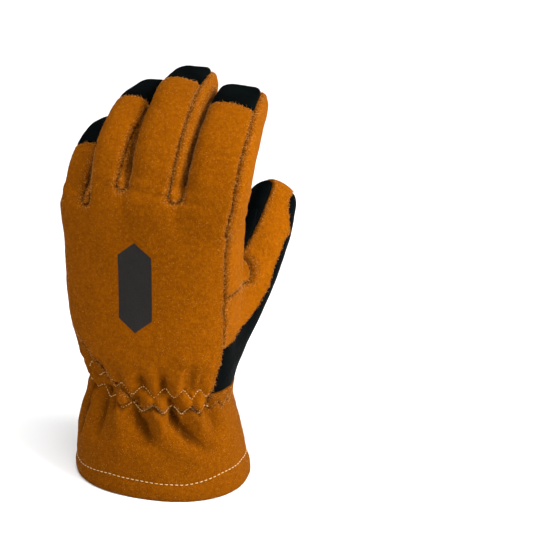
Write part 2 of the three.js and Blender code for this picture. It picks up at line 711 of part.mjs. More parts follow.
function cuffPalmRegion(grow) {
  const outline = [
    [-REACH, -REACH], [REACH, -REACH],
    [REACH, handHeight(PALM_CUFF_INNER) + grow],
    [0.5 * PALM_HALF_WIDTH, handHeight(PALM_CUFF_INNER) + grow],
    [-0.6 * PALM_HALF_WIDTH, handHeight(PALM_CUFF_OUTER) + grow],
    [-REACH, handHeight(PALM_CUFF_OUTER) + grow],
  ];
  return frontPrism(outline, -REACH, REACH);
}

function backRegion(grow) {
  const otherSeam = (z) => mirrored(backSeam(z));
  const trunkPart = trunkWedge(otherSeam, backSeam, -grow, handHeight(-0.1), TOP + SLACK);
  return join([trunkPart, ...fingerList.map((finger) => fingerBackRegion(finger, grow))]);
}

// The patch sewn over the palm under the finger roots, drawn from the front

const PALM_PATCH = [
  [-0.88, 0.785], [0.80, 0.885], [0.80, 0.66], [0.60, 0.50], [0.30, 0.42], [-0.30, 0.36],
  [-0.70, 0.40], [-0.86, 0.52],
];

function palmPatch() {
  const heights = between(trunkHeights(TOP, CUFF_STEP, HAND_STEP), handHeight(0.33), handHeight(0.91));
  const layer = (out) => trunkSolid(out, BACK_SIDES, PALM_SIDES, heights);
  const outline = PALM_PATCH.map(([x, at]) => [x * PALM_HALF_WIDTH, handHeight(at)]);
  return layer(SEAM_GAP + PATCH_WALL)
    .subtract(layer(SEAM_GAP))
    .intersect(frontPrism(outline, 0.05 * PALM_HALF_DEPTH, REACH))
    .subtract(join([
      thumbSolid(SLACK, FINGER_SIDES, FINGER_STEP),
      ...fingerList.map((finger) => fingerSolid(finger, SLACK, FINGER_SIDES, FINGER_STEP)),
    ]));
}

// Panels, each cut clear of the ones that come before it

const half = SEAM_GAP / 2;
const pairs = [
  ['fourchette_index_middle', FINGERS.middle, FINGERS.index],
  ['fourchette_middle_ring', FINGERS.ring, FINGERS.middle],
  ['fourchette_ring_little', FINGERS.little, FINGERS.ring],
];
const group = new THREE.Group();
const sideCutters = join([
  ...pairs.map(([, first, second]) => fourchetteRegion(first, second, half)),
  indexSideRegion(half),
  littleSideRegion(half),
]);

for (const [name, first, second] of pairs) {
  const panel = shell.intersect(fourchetteRegion(first, second, -half));
  group.add(toMesh(name, panel, COLOURS.suede, 0.95));
}

const webs = join(pairs.map(([, first, second]) => fourchetteRegion(first, second, half)));
const indexSide = shell.intersect(indexSideRegion(-half)).subtract(webs);
group.add(toMesh('index_side_panel', indexSide, COLOURS.suede, 0.95));

const littleSide = shell.intersect(littleSideRegion(-half)).subtract(webs);
group.add(toMesh('little_side_panel', littleSide, COLOURS.suede, 0.95));

const cuffBack = shell.intersect(cuffBackRegion(-half)).subtract(sideCutters);
group.add(toMesh('cuff_back', cuffBack, COLOURS.gathered, 0.95));

const cuffPalm = shell.intersect(cuffPalmRegion(-half)).subtract(cuffSideWedge(half));
group.add(toMesh('cuff_palm', cuffPalm, COLOURS.suede, 0.95));

const thumbPanel = shell.intersect(thumbPanelRegion(-half)).subtract(sideCutters).subtract(cuffBackRegion(half));
group.add(toMesh('thumb_panel', thumbPanel, COLOURS.suede, 0.95));

const notBack = join([sideCutters, cuffBackRegion(half), thumbPanelRegion(half)]);
const backPanel = shell.intersect(backRegion(-half)).subtract(notBack);
group.add(toMesh('back_panel', backPanel, COLOURS.suede, 0.9));

const orange = join([
  sideCutters,
  cuffBackRegion(half),
  cuffPalmRegion(half).subtract(cuffSideWedge(-half)),
  thumbPanelRegion(half),
  backRegion(half),
]);
group.add(toMesh('palm_panel', shell.subtract(orange), COLOURS.leather, 0.55));

group.add(toMesh('palm_patch', palmPatch(), COLOURS.leather, 0.5));

// Stand the glove on its hem, centred over the origin

const bounds = new THREE.Box3().setFromObject(group);
const centre = bounds.getCenter(new THREE.Vector3());
group.position.set(-centre.x, -centre.y, -bounds.min.z);
group.updateMatrixWorld(true);

export default group;
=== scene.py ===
"""A left-hand structural firefighting glove, sewn from orange suede and black leather.

Lengths inside the drawing functions are millimetres, in a frame whose +Z runs from the hem to the
fingertips, with the thumb towards +X and the back of the hand towards -Y.
"""

import math
from types import SimpleNamespace

import bpy
import numpy as np
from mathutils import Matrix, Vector


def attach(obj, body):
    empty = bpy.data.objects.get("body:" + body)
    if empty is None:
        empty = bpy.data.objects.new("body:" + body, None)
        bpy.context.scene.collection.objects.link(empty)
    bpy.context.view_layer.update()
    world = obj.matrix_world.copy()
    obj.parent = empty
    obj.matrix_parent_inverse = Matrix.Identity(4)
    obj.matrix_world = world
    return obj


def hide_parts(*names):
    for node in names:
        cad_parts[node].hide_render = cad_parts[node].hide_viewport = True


bl_info = {
    "name": "Firefighter glove",
    "version": (1, 0, 0),
    "blender": (4, 5, 0),
    "location": "3D View > Sidebar > Glove",
    "description": "Sews a leather firefighting glove panel by panel, with its stitches and nap",
    "category": "Object",
}

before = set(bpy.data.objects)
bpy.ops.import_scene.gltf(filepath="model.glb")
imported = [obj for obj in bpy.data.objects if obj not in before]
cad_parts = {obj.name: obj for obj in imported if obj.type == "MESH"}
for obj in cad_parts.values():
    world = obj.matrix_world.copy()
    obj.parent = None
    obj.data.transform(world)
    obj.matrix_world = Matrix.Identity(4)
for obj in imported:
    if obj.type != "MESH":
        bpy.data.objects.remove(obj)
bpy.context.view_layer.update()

MM = 0.001
GLOVE_MIDDLE = np.array([5.045, 19.811, 0.0])  # of the drawn form, which stands over the origin
RIGHT = np.array([1.0, 0.0, 0.0])

# Sections of the cuff and hand from the hem up: zone, place along it, centre x and y, half width,
# half depth of the back and of the palm, as shares of the cuff's or palm's, and how square it is

TRUNK_SECTIONS = [
    ("cuff", 0.00, 0.015, 0.02, 1.00, 1.00, 1.00, 2.25),
    ("cuff", 0.24, -0.01, 0.02, 0.98, 0.98, 0.98, 2.25),
    ("cuff", 0.55, -0.03, 0.02, 0.93, 0.91, 0.96, 2.25),
    ("cuff", 0.80, -0.04, 0.02, 0.87, 0.80, 0.93, 2.20),
    ("cuff", 1.00, -0.03, 0.02, 0.82, 0.72, 0.89, 2.20),
    ("hand", 0.055, -0.02, 0.02, 0.80, 1.12, 1.42, 2.20),
    ("hand", 0.13, -0.03, 0.00, 0.83, 1.14, 1.46, 2.30),
    ("hand", 0.25, -0.05, -0.06, 0.89, 1.12, 1.46, 2.40),
    ("hand", 0.38, -0.07, -0.13, 0.93, 1.05, 1.38, 2.50),
    ("hand", 0.53, -0.065, -0.20, 0.95, 0.97, 1.22, 2.60),
    ("hand", 0.70, -0.055, -0.26, 0.96, 0.94, 1.12, 2.70),
    ("hand", 0.84, -0.045, -0.32, 0.965, 0.91, 1.02, 2.80),
    ("hand", 0.93, -0.04, -0.40, 0.96, 0.83, 0.82, 2.80),
    ("hand", 0.975, -0.04, -0.48, 0.93, 0.70, 0.58, 2.80),
    ("hand", 1.00, -0.04, -0.58, 0.87, 0.46, 0.30, 2.80),
]

# Folds and gathers: from one turn round the section and height to another, in degrees from +X
# towards the palm and in cuff lengths, then half width in cuff half widths and height in mm at the
# start and at the end

FOLDS = [
    (-96, 1.12, -91, 0.86, 0.075, -3.6, -4.8),
    (-91, 0.86, -84, 0.70, 0.080, -4.8, -3.0),
    (-84, 0.70, -72, 0.58, 0.095, -3.0, -0.6),
    (-72, 1.12, -67, 0.92, 0.070, -3.8, -4.9),
    (-67, 0.92, -58, 0.75, 0.080, -4.9, -3.8),
    (-58, 0.75, -45, 0.62, 0.090, -3.8, -2.2),
    (-45, 0.62, -27, 0.56, 0.105, -2.2, -0.4),
    (-63, 1.02, -54, 0.72, 0.045, -2.8, -1.2),
    (-83, 1.06, -74, 0.70, 0.110, 4.8, 2.8),
    (-74, 0.70, -52, 0.50, 0.140, 2.8, 1.4),
    (-52, 1.06, -43, 0.80, 0.110, 4.8, 2.4),
    (-105, 1.08, -103, 0.60, 0.130, 4.4, 1.6),
    (-113, 1.10, -113, 0.96, 0.050, -2.0, -1.6),
    (-120, 1.16, -123, 0.66, 0.080, -4.2, -1.6),
    (-132, 1.16, -136, 0.60, 0.100, 3.2, 1.8),
    (-144, 1.24, -151, 0.54, 0.080, -4.2, -1.8),
    (-156, 1.16, -162, 0.60, 0.090, 1.4, 1.0),
    (-170, 1.20, -172, 0.70, 0.080, -2.8, -1.4),
    (-36, 1.12, -29, 0.76, 0.080, -3.2, -1.2),
    (-22, 1.00, -16, 0.72, 0.110, 1.0, 0.6),
    (-80, 1.50, -77, 1.26, 0.070, -1.6, -3.4),
    (-57, 1.52, -54, 1.28, 0.075, -1.6, -3.4),
    (-67, 1.46, -66, 1.28, 0.080, 1.2, 2.4),
    (-64, 1.66, -40, 1.62, 0.120, 1.8, 1.4),
    (-92, 1.46, -90, 1.28, 0.070, -0.8, -2.2),
    (-64, 1.42, -100, 1.46, 0.140, 0.8, 0.8),
]

GATHER_START = -98.0  # degrees, at a low point of the upper row
GATHER_PITCH = 14.6
GATHER_RISE = 11.0  # of both rows towards the little-finger side
UPPER_GATHER = (70.6, 3.6)  # height in the middle and up to a peak
LOWER_GATHER = (59.0, -2.6)

# Turn in degrees and height of the stitches over the hem, then x and how much higher than the
# trunk's top the webs between the fingers lie

HEM_LINE = ([-180, -140, -110, -80, -62, -48, -30, 0, 60, 180],
            [12, 10.8, 13.4, 12.4, 11.9, 13.6, 16, 16, 13, 12])
CROWN_LINE = ([-60, -42, -30, -18, 0, 15, 34, 60], [-8, -8, 0, 5, 2, 0, -3, -6])

# Fingers: root x, y and height, lean, pitch, twist, width, depth, start of the side panels and
# bends as start, end and turn, and the length of the black cap. Then, at the root, a third up, two
# thirds up and at the tip, the added fullness to the right and left in mm and how far out the right
# seam of the back lies

FINGERS = {
    "index": dict(x=0.58, y=-0.60, at=0.76, lean=6, pitch=-4, twist=4, width=1.32, depth=1.03,
                  strip=0.12, bends=[(0.05, 0.30, 13), (0.33, 0.57, 36), (0.63, 0.83, 34)], cap=33,
                  right=(0, 4.0, 4.8, 4.6), left=(0, -2.0, -3.4, -4.4), seam=(0.66, 0.58, 0.74, 0.76)),
    "middle": dict(x=0.015, y=-0.67, at=0.76, lean=2, pitch=-4, twist=-2, width=1.02, depth=1.03,
                   strip=0.24, bends=[(0.05, 0.28, 13), (0.30, 0.53, 38), (0.59, 0.77, 34)], cap=35,
                   right=(0, 6.2, 8.6, 4.0), left=(0, 0.4, 0.4, 0.4), seam=(0.90, 0.82, 0.80, 0.70)),
    "ring": dict(x=-0.45, y=-0.63, at=0.75, lean=1, pitch=-4, twist=-6, width=0.93, depth=1.00,
                 strip=0.24, bends=[(0.05, 0.28, 13), (0.30, 0.52, 40), (0.58, 0.75, 34)], cap=42,
                 right=(0, 1.4, 1.6, 1.4), left=(0, 0.4, 0.4, 0.4), seam=(0.90, 0.90, 0.90, 0.90)),
    "little": dict(x=-0.73, y=-0.50, at=0.69, lean=-4, pitch=-3, twist=-8, width=0.90, depth=0.88,
                   strip=0.28, bends=[(0.06, 0.32, 15), (0.34, 0.57, 40), (0.64, 0.80, 32)], cap=42,
                   right=(0, 1.0, 1.2, 1.0), left=(0, 0.4, 0.4, 0.4), seam=(0.90, 0.90, 0.90, 0.90)),
}
THIRDS = (0, 0.33, 0.67, 1)

# Place along a finger, then its width and depth there as shares of the full ones

FINGER_FULLNESS = [
    (0.00, 0.80, 0.84),
    (0.16, 0.95, 0.95),
    (0.34, 1.00, 0.98),
    (0.52, 0.97, 0.94),
    (0.74, 0.92, 0.84),
    (1.00, 0.86, 0.74),
]
FINGER_ROUND = 2.7  # how square a finger's section is
TIP_ROUND = 15.0  # length over which a tip closes
ROOT_SUNK = 5.5  # how far a finger's root lies under the back of the hand
FINGER_SLIT = 0.8  # half of what is kept clear between two fingers

# Thumb centreline: place, x, reach, rise, width, depth

THUMB_SECTIONS = [
    (0.00, 0.38, -0.02, 0.00, 1.75, 1.12),
    (0.25, 0.57, 0.22, 0.24, 1.68, 1.16),
    (0.50, 0.75, 0.47, 0.49, 1.48, 1.10),
    (0.75, 0.88, 0.72, 0.74, 1.20, 1.02),
    (1.00, 0.93, 1.00, 1.00, 0.98, 0.92),
]
THUMB_ROOT_HEIGHT = 0.21
THUMB_BACK = np.array([0.68, -0.64, 0.34]) / math.sqrt(0.68 ** 2 + 0.64 ** 2 + 0.34 ** 2)
THUMB_ROUND = 2.4

# Corners of the palm's second layer, as shares of the palm's half width and the hand's length

PALM_PATCH = [(-0.88, 0.785), (0.80, 0.885), (0.80, 0.66), (0.60, 0.50), (0.30, 0.42),
              (-0.30, 0.36), (-0.70, 0.40), (-0.86, 0.52)]

# Seam directions round a section, as shares of its half sizes

TRUNK_BACK_SEAM = (0.96, -0.50)
TRUNK_PALM_SEAM = (0.99, 0.16)
WRIST_SEAM = (0.84, -0.62)
FINGER_BACK_SEAM = (0.90, -0.55)
FINGER_PALM_SEAM = (0.92, 0.42)

# Webs between the fingers: side wall, the fingers to its left and right, then the slot that it fills
# in the back panel as the x and height of its bottom and its radius

WEBS = [
    ("fourchette_ring_little", "little", "ring", -40.0, 193.0, 3.0),
    ("fourchette_middle_ring", "ring", "middle", -15.5, 205.0, 3.4),
    ("fourchette_index_middle", "middle", "index", 19.0, 199.5, 4.2),
]
SLOT_REACH = 30.0  # height over which a slot narrows
SLOT_LEAN = 0.05
SLOT_MIDDLE = -22.0  # y of its middle
SLOT_DEEP = 18.0  # how far it cuts to either side of that

# Curved edges of the panels, each a column of places and a column of values. Places and values are
# mm, but the drift is a share of the half width, and the thumb's long edges are shares throughout

SEAM_DRIFT = ([95, 110, 130, 150, 175, 195], [0, -0.02, -0.08, -0.15, -0.21, -0.24])
INDEX_PALM_EDGE = ([120, 134, 142, 150, 158, 168, 180, 190], [10, 21, 25, 25, 20, 11, 3, 0])
INDEX_LOWER_EDGE = ([-40, -24, -12, 0, 12, 22, 30], [136, 136, 138, 137.5, 134.5, 134, 136])
WING_EDGE = ([-62, -50.8, -41.3, -33.5, -24.9, -13.5, -7.5, 0],
             [110, 101.2, 93, 85.1, 76.7, 68.2, 61, 52])
CUFF_PALM_TOP = ([-36, 30], [61, 68.5])
THUMB_NEAR_EDGE = ([0.15, 0.5, 0.8, 1.0], [-0.62, -0.60, -0.62, -0.55])
THUMB_FAR_EDGE = ([0.2, 0.45, 0.62, 0.70, 0.78, 0.86, 0.92, 0.97, 1.0],
                  [0.64, 0.66, 0.74, 0.84, 0.60, 0.30, 0.32, 0.6, 0.9])
THUMB_LOWER_EDGE = ([-30, -19, -3.6, 15.4, 24, 32, 38, 46, 54],
                    [100, 100, 105.3, 112, 119, 128, 138, 148.5, 157])
HAND_SEAM_HEIGHTS = (62.35, 95.7)  # over which the wrist's seam turns into the hand's
LITTLE_SIDE_START = 104
SIDE_WALL_TOP = 192
STRIP_START = 205  # the back of the hand ends here and its four strips go on
CUFF_WEDGE = math.radians(22)  # turn of the cuff's side seams towards the palm

# Panels in the order in which they take their place, and how high some lap over their neighbours

SIDE_WALLS = ("fourchette_index_middle", "fourchette_middle_ring", "fourchette_ring_little",
              "index_side_panel", "little_side_panel")
PANEL_ORDER = (*SIDE_WALLS, "cuff_back", "thumb_panel", "back_panel")
LAPS = {"back_panel": 0.8, "thumb_panel": 0.6, "cuff_palm": 0.4}

# Rows of stitches on the palm side, as places in x and heights

CUFF_TOP_ROW = ((-46, -36, 0, 30, 42), (57.5, 58, 62, 65.5, 66))
FINGER_ROOT_ROW = ((-52, -20, 20, 50), (172, 178, 183, 186))
THUMB_ARC_ROW = ((34, 42, 50, 56), (150, 153, 152, 147))
PATCH_FOLD_ROW = ((-50, -20, 20, 47), (157, 161, 166, 176))
CAP_ROWS = (33, 36)  # back from the fingertips

# Stitches: pitch, thread's share of it and its thickness

HEM_STITCH = (3.3, 0.70, 0.65)
GATHER_STITCH = (1.9, 0.76, 0.72)
CUFF_STITCH = (3.3, 0.72, 0.70)
PALM_STITCH = (3.2, 0.68, 0.62)

# The printed bar, in metres in the row's frame, and the place in mm that loose fibres keep clear

PRINT_MIDDLE = (-0.0115, 0.142)
PRINT_HALF = (0.0110, 0.0300)
PRINT_SLANT = 0.8
PRINT_CLEAR = (-6.5, 142, 12, 31)

# Lights: name, kind, place, size (a sun's angle or a disk's width in metres) and power

LIGHTS = [
    ("overhead", "SUN", (0.06, -0.18, 1.0), math.radians(40), 3.4),
    ("key", "AREA", (1.20, -0.27, 0.88), 0.80, 39.0),
    ("left", "AREA", (-1.0, -0.45, 0.6), 0.35, 2.0),
]

# The photograph's camera: degrees round to the thumb side and up, metres away, and in the photo its
# size in pixels, the pixel at the glove's middle and the millimetres to a pixel there

CAMERA_TURN = 18
CAMERA_RISE = 20
CAMERA_AWAY = 0.9
PHOTO_PIXELS = 560
PHOTO_MIDDLE = (162, 286)
PHOTO_SCALE = 0.654

# Corners of the box that the unevenness fills, and the distance that stands for outside the grid

NOISE_LOW = np.array([-90.0, -80.0, -20.0])
NOISE_HIGH = np.array([110.0, 120.0, 300.0])
FAR = 9.0

GLOVE_BOX = ((-68.0, -56.0), (78.0, 96.0, 276.0))
PATCH_BOX = ((-62.0, 0.0, 108.0), (58.0, 48.0, 194.0))
PATCH_GRAIN = 0.62
PATCH_THICK = 1.5
PATCH_CORNER = 3.0

NAP_COUNT = 36000
NAP_HALF = 0.10


def hermite(places, values, at):
    """Smooth values at any places from a short column of a table"""
    places = np.asarray(places, float)
    values = np.asarray(values, float)
    last = len(places) - 1
    i = np.clip(np.searchsorted(places, at, side="left") - 1, 0, last - 1)
    before = np.maximum(np.arange(last + 1) - 1, 0)
    after = np.minimum(np.arange(last + 1) + 1, last)
    slope = (values[after] - values[before]) / (places[after] - places[before])
    step = places[i + 1] - places[i]
    t = np.clip((at - places[i]) / step, 0, 1)
    start = (1 + 2 * t) * (1 - t) ** 2 * values[i]
    end = t * t * (3 - 2 * t) * values[i + 1]
    leave = t * (1 - t) ** 2 * step * slope[i]
    arrive = t * t * (t - 1) * step * slope[i + 1]
    return start + end + leave + arrive


def ramp(value, low, high):
    """0 below low, 1 above high, smooth between"""
    t = np.clip((value - low) / (high - low), 0, 1)
    return t * t * (3 - 2 * t)


def fade(value, low, high):
    """1 below low, 0 above high, smooth between"""
    return ramp(-value, -high, -low)


def smooth_least(a, b, width):
    """The lesser of two distances, rounded where they are close"""
    h = np.maximum(width - np.abs(a - b), 0) / width
    return np.minimum(a, b) - h * h * width / 4


def smooth_most(a, b, width):
    """The greater of two distances, rounded where they are close"""
    return -smooth_least(-a, -b, width)


def noise(points, cell, seed):
    """Smooth random heights from -1 to 1 with bumps about one cell wide"""
    cell = np.broadcast_to(np.asarray(cell, float), 3)
    size = np.ceil((NOISE_HIGH - NOISE_LOW) / cell).astype(int) + 2
    lattice = np.random.default_rng(seed).uniform(-1, 1, size).astype(np.float32)
    place = (np.clip(points, NOISE_LOW, NOISE_HIGH) - NOISE_LOW) / cell
    corner = np.floor(place).astype(int)
    t = place - corner
    t = t * t * (3 - 2 * t)
    x, y, z = corner.T
    a, b, c = t.T
    total = 0
    for i, wa in ((0, 1 - a), (1, a)):
        for j, wb in ((0, 1 - b), (1, b)):
            low = lattice[x + i, y + j, z] * (1 - c)
            total = total + wa * wb * (low + lattice[x + i, y + j, z + 1] * c)
    return total


def glove_sizes():
    """The sizes in millimetres, from the sidebar's values"""
    group = bpy.context.scene.glove_sizes
    return SimpleNamespace(**{name: getattr(group, name) / MM for name in group.__annotations__})


# Cuff and hand


def trunk_table(sizes):
    """Fine columns of the trunk's sections from the hem up"""
    rows = []
    for zone, at, x, y, width, back, palm, square in TRUNK_SECTIONS:
        cuff = zone == "cuff"
        wide = sizes.cuff_half_width if cuff else sizes.palm_half_width
        deep = sizes.cuff_half_depth if cuff else sizes.palm_half_depth
        z = at * sizes.cuff_length if cuff else sizes.cuff_length + at * sizes.hand_length
        rows.append((z, x * wide, y * deep, width * wide, back * deep, palm * deep, square))
    columns = np.array(rows).T
    top = columns[0][-1]
    fine = np.arange(0, top + 0.5, 0.5)
    return top, fine, [hermite(columns[0], column, fine) for column in columns[1:]]


def cross(direction, u, v):
    """Signed distance of (u, v) from the line through the centre along a direction"""
    length = np.hypot(direction[0], direction[1])
    return (direction[0] * v - direction[1] * u) / length


def fold_height(sizes, turn, z):
    """Height of the folds: the deepest hollow and the tallest ridge at each place"""
    hollow = np.zeros_like(z)
    ridge = np.zeros_like(z)
    for start, at, end, to, span, tall, to_tall in FOLDS:
        dx = math.radians(end - start) * sizes.cuff_half_width
        dz = (to - at) * sizes.cuff_length
        px = (turn - math.radians(start)) * sizes.cuff_half_width
        pz = z - at * sizes.cuff_length
        along = np.clip((px * dx + pz * dz) / (dx * dx + dz * dz), 0, 1)
        away = np.hypot(px - along * dx, pz - along * dz) / (span * sizes.cuff_half_width)
        shape = (tall + (to_tall - tall) * along) * np.exp(-away * away)
        hollow = np.minimum(hollow, shape)
        ridge = np.maximum(ridge, shape)
    return hollow + ridge


def wave(turn):
    """From -1 to 1 and back along the gathering stitches, once for each gather"""
    share = (turn - GATHER_START) / GATHER_PITCH
    return 1 - 4 * np.abs(share - np.floor(share) - 0.5)


def gather_lines(turn):
    """Heights of the two rows of zigzag stitches that gather the wrist"""
    rise = GATHER_RISE * fade(turn, -142, -98)
    upper = UPPER_GATHER[0] + rise + UPPER_GATHER[1] * wave(turn)
    lower = LOWER_GATHER[0] + rise * 0.9 + LOWER_GATHER[1] * wave(turn)
    return upper, lower


def hem_line(turn):
    """Height of the row of stitches above the hem"""
    return np.interp(turn, *HEM_LINE)


def gather_height(turn, z):
    """Puckers of the gathered wrist: stitches drawn in, and puffs between and beside them"""
    upper, lower = gather_lines(turn)
    reach = ramp(turn, -176, -160) * fade(turn, -40, -30)
    drawn = 1.3 * np.exp(-((z - upper) / 1.7) ** 2) + 1.3 * np.exp(-((z - lower) / 1.7) ** 2)
    above = np.exp(-((z - upper - 6) / 5.5) ** 2) * -wave(turn)
    below = np.exp(-((z - lower + 6) / 6.0) ** 2) * wave(turn)
    middle = np.exp(-((z - (upper + lower) / 2) / 4.0) ** 2)
    return reach * (1.6 * above + 1.4 * below + middle * (0.5 + 0.9 * wave(turn)) - drawn)


def trunk_sections(z):
    """Centre x and y, half width, depth of the back and palm and squareness at some heights"""
    fine, columns = GLOVE["trunk"][1:]
    return [np.interp(z, fine, column) for column in columns]


def trunk_local(points):
    """Distance from the trunk's surface and the place round its section"""
    top = GLOVE["trunk"][0]
    x, y, z = points.T
    lifted = z - hermite(*CROWN_LINE, x) * ramp(z, top - 45, top)
    cx, cy, width, back, palm, square = trunk_sections(np.clip(lifted, 0, top))
    u = x - cx
    v = y - cy
    depth = np.where(v > 0, palm, back)
    a = np.abs(u) / width + 1e-9
    b = np.abs(v) / depth + 1e-9
    share = (a ** square + b ** square) ** (1 / square)
    slope = share ** (1 - square) * np.hypot(a ** (square - 1) / width, b ** (square - 1) / depth)
    distance = (share - 1) / np.maximum(slope, 1 / (2 * width))
    distance = smooth_most(distance, lifted - top, 2.0)
    half = square / 2
    turn = np.arctan2(np.sign(v) * b ** half, np.sign(u) * a ** half)
    return SimpleNamespace(distance=distance, u=u, v=v, width=width, back=back, palm=palm,
                           turn=turn, z=z)


# Fingers and thumb


def finger_line(sizes, name, finger):
    """Centreline of a finger in its own plane, every millimetre"""
    lean = math.radians(finger["lean"])
    pitch = math.radians(finger["pitch"])
    twist = math.radians(finger["twist"])
    along = np.array([math.sin(lean) * math.cos(pitch), math.sin(pitch),
                      math.cos(lean) * math.cos(pitch)])
    side = RIGHT - along * (along @ RIGHT)
    side /= np.linalg.norm(side)
    palm = np.cross(along, side)
    turned_side = side * math.cos(twist) + np.cross(along, side) * math.sin(twist)
    turned_palm = palm * math.cos(twist) + np.cross(along, palm) * math.sin(twist)
    length = getattr(sizes, name + "_length")
    s = np.arange(0, length + 6, 1.0)
    angle = np.zeros_like(s)
    bend = np.zeros_like(s)
    for start, end, turn in finger["bends"]:
        span = (end - start) * length
        angle += math.radians(turn) * np.clip((s - start * length) / span, 0, 1)
        inside = (s > start * length) & (s < end * length)
        bend += np.where(inside, math.radians(turn) / span, 0)
    middle = (angle[1:] + angle[:-1]) / 2
    forward = np.concatenate([[0], np.cumsum(np.cos(middle))])
    inward = np.concatenate([[0], np.cumsum(np.sin(middle))])
    root = np.array([finger["x"] * sizes.palm_half_width, finger["y"] * sizes.palm_half_depth,
                     sizes.cuff_length + finger["at"] * sizes.hand_length])
    return SimpleNamespace(length=length, s=s, angle=angle, bend=bend, forward=forward,
                           inward=inward, root=root, along=along, side=turned_side,
                           palm=turned_palm, row=finger)


def finger_place(line, s, u, v):
    """A point from its place along a finger, to its side and towards its palm"""
    angle = np.interp(s, line.s, line.angle)
    forward = np.interp(s, line.s, line.forward) - np.sin(angle) * v
    inward = np.interp(s, line.s, line.inward) + np.cos(angle) * v
    return (line.root + np.multiply.outer(forward, line.along)
            + np.multiply.outer(inward, line.palm) + np.multiply.outer(u, line.side))


def near_line(places, points, margin):
    """Which points lie in the box round a line's stations"""
    low = places.min(0) - margin
    high = places.max(0) + margin
    return np.flatnonzero(np.all((points > low) & (points < high), axis=1))


def nearest(stations, places):
    """Index of the nearest station for each place"""
    found = np.empty(len(places), int)
    weight = (stations ** 2).sum(1)
    for start in range(0, len(places), 40000):
        part = places[start:start + 40000]
        found[start:start + 40000] = np.argmin(weight - 2 * part @ stations.T, axis=1)
    return found


def tip_distance(a, b, square, width, depth, into, tip):
    """Distance from a superellipse section that closes in a rounded tip"""
    share = (a ** square + b ** square) ** (1 / square)
    slope = share ** (1 - square) * np.hypot(a ** (square - 1) / width, b ** (square - 1) / depth)
    power = 2.5
    whole = np.sqrt(share ** 2 + into ** power)
    across = share / whole * slope
    ahead = power * into ** (power - 1) / (2 * tip * whole)
    return (whole - 1) / np.maximum(np.hypot(across, ahead), 1 / (2 * width))


def far_local(count, line):
    """Places as they are far from a finger, filled in where points are near it"""
    return SimpleNamespace(distance=np.full(count, 99.0), s=np.full(count, -99.0), u=np.zeros(count),
                           v=np.zeros(count), width=np.ones(count), depth=np.ones(count), line=line)


def fill_local(local, near, **values):
    """Puts in the values of the points that are near"""
    for name, value in values.items():
        getattr(local, name)[near] = value
    return local


def finger_local(sizes, line, points):
    """Distance from a finger's surface and the place along and round it"""
    local = far_local(len(points), line)
    near = near_line(finger_place(line, line.s, 0 * line.s, 0 * line.s), points, 30.0)
    if not len(near):
        return local
    rel = points[near] - line.root
    q = np.stack([rel @ line.along, rel @ line.palm], axis=1)
    stations = np.stack([line.forward, line.inward], axis=1)
    i = nearest(stations, q)
    off = q - stations[i]
    cos, sin = np.cos(line.angle[i]), np.sin(line.angle[i])
    ahead = off[:, 0] * cos + off[:, 1] * sin
    v = off[:, 1] * cos - off[:, 0] * sin
    s = line.s[i] + ahead / np.clip(1 - line.bend[i] * v, 0.3, 3)
    u = rel @ line.side
    rows = np.array(FINGER_FULLNESS).T
    at = np.clip(s / line.length, 0, 1)
    width = line.row["width"] * sizes.finger_width / 2 * hermite(rows[0], rows[1], at)
    depth = line.row["depth"] * sizes.finger_depth / 2 * hermite(rows[0], rows[2], at)
    into = np.clip((s - line.length + TIP_ROUND) / TIP_ROUND, 0, None)
    into = into * (1 - 0.24 * ramp(u / width, 0.1, 0.9))
    added = np.where(u > 0, hermite(THIRDS, line.row["right"], at), hermite(THIRDS, line.row["left"], at))
    fuller = width + added
    distance = tip_distance(np.abs(u) / fuller + 1e-9, np.abs(v) / depth + 1e-9, FINGER_ROUND,
                            fuller, depth, into, TIP_ROUND)
    distance = np.maximum(distance + ROOT_SUNK * (1 - ramp(s, 2, 30)), -s)
    return fill_local(local, near, distance=distance, s=s, u=u, v=v, width=width, depth=depth)


def thumb_point(sizes, at):
    """A point on the thumb's centreline at a share of its length"""
    rows = np.array(THUMB_SECTIONS).T
    return np.stack([
        hermite(rows[0], rows[1], at) * sizes.palm_half_width,
        hermite(rows[0], rows[2], at) * sizes.thumb_reach,
        sizes.cuff_length + THUMB_ROOT_HEIGHT * sizes.hand_length
        + hermite(rows[0], rows[3], at) * sizes.thumb_rise], axis=-1)


def unit(vectors):
    """The same directions at length one"""
    return vectors / np.linalg.norm(vectors, axis=-1, keepdims=True)


def thumb_line(sizes):
    """Centreline of the thumb, every millimetre, with the frame at each station"""
    fine = thumb_point(sizes, np.linspace(0, 1, 41))
    steps = np.linalg.norm(np.diff(fine, axis=0), axis=1)
    length = steps.sum()
    s = np.arange(0, length + 6, 1.0)
    at = np.clip(s / length, 0, 1)
    ahead = thumb_point(sizes, np.clip(at + 0.02, 0, 1)) - thumb_point(sizes, np.clip(at - 0.02, 0, 1))
    along = unit(ahead)
    side = unit(THUMB_BACK - along * (along @ THUMB_BACK)[:, None])
    palm = np.cross(along, side)
    point = thumb_point(sizes, at) + along * np.maximum(s - length, 0)[:, None]
    return SimpleNamespace(length=length, s=s, along=along, side=side, palm=palm, point=point)


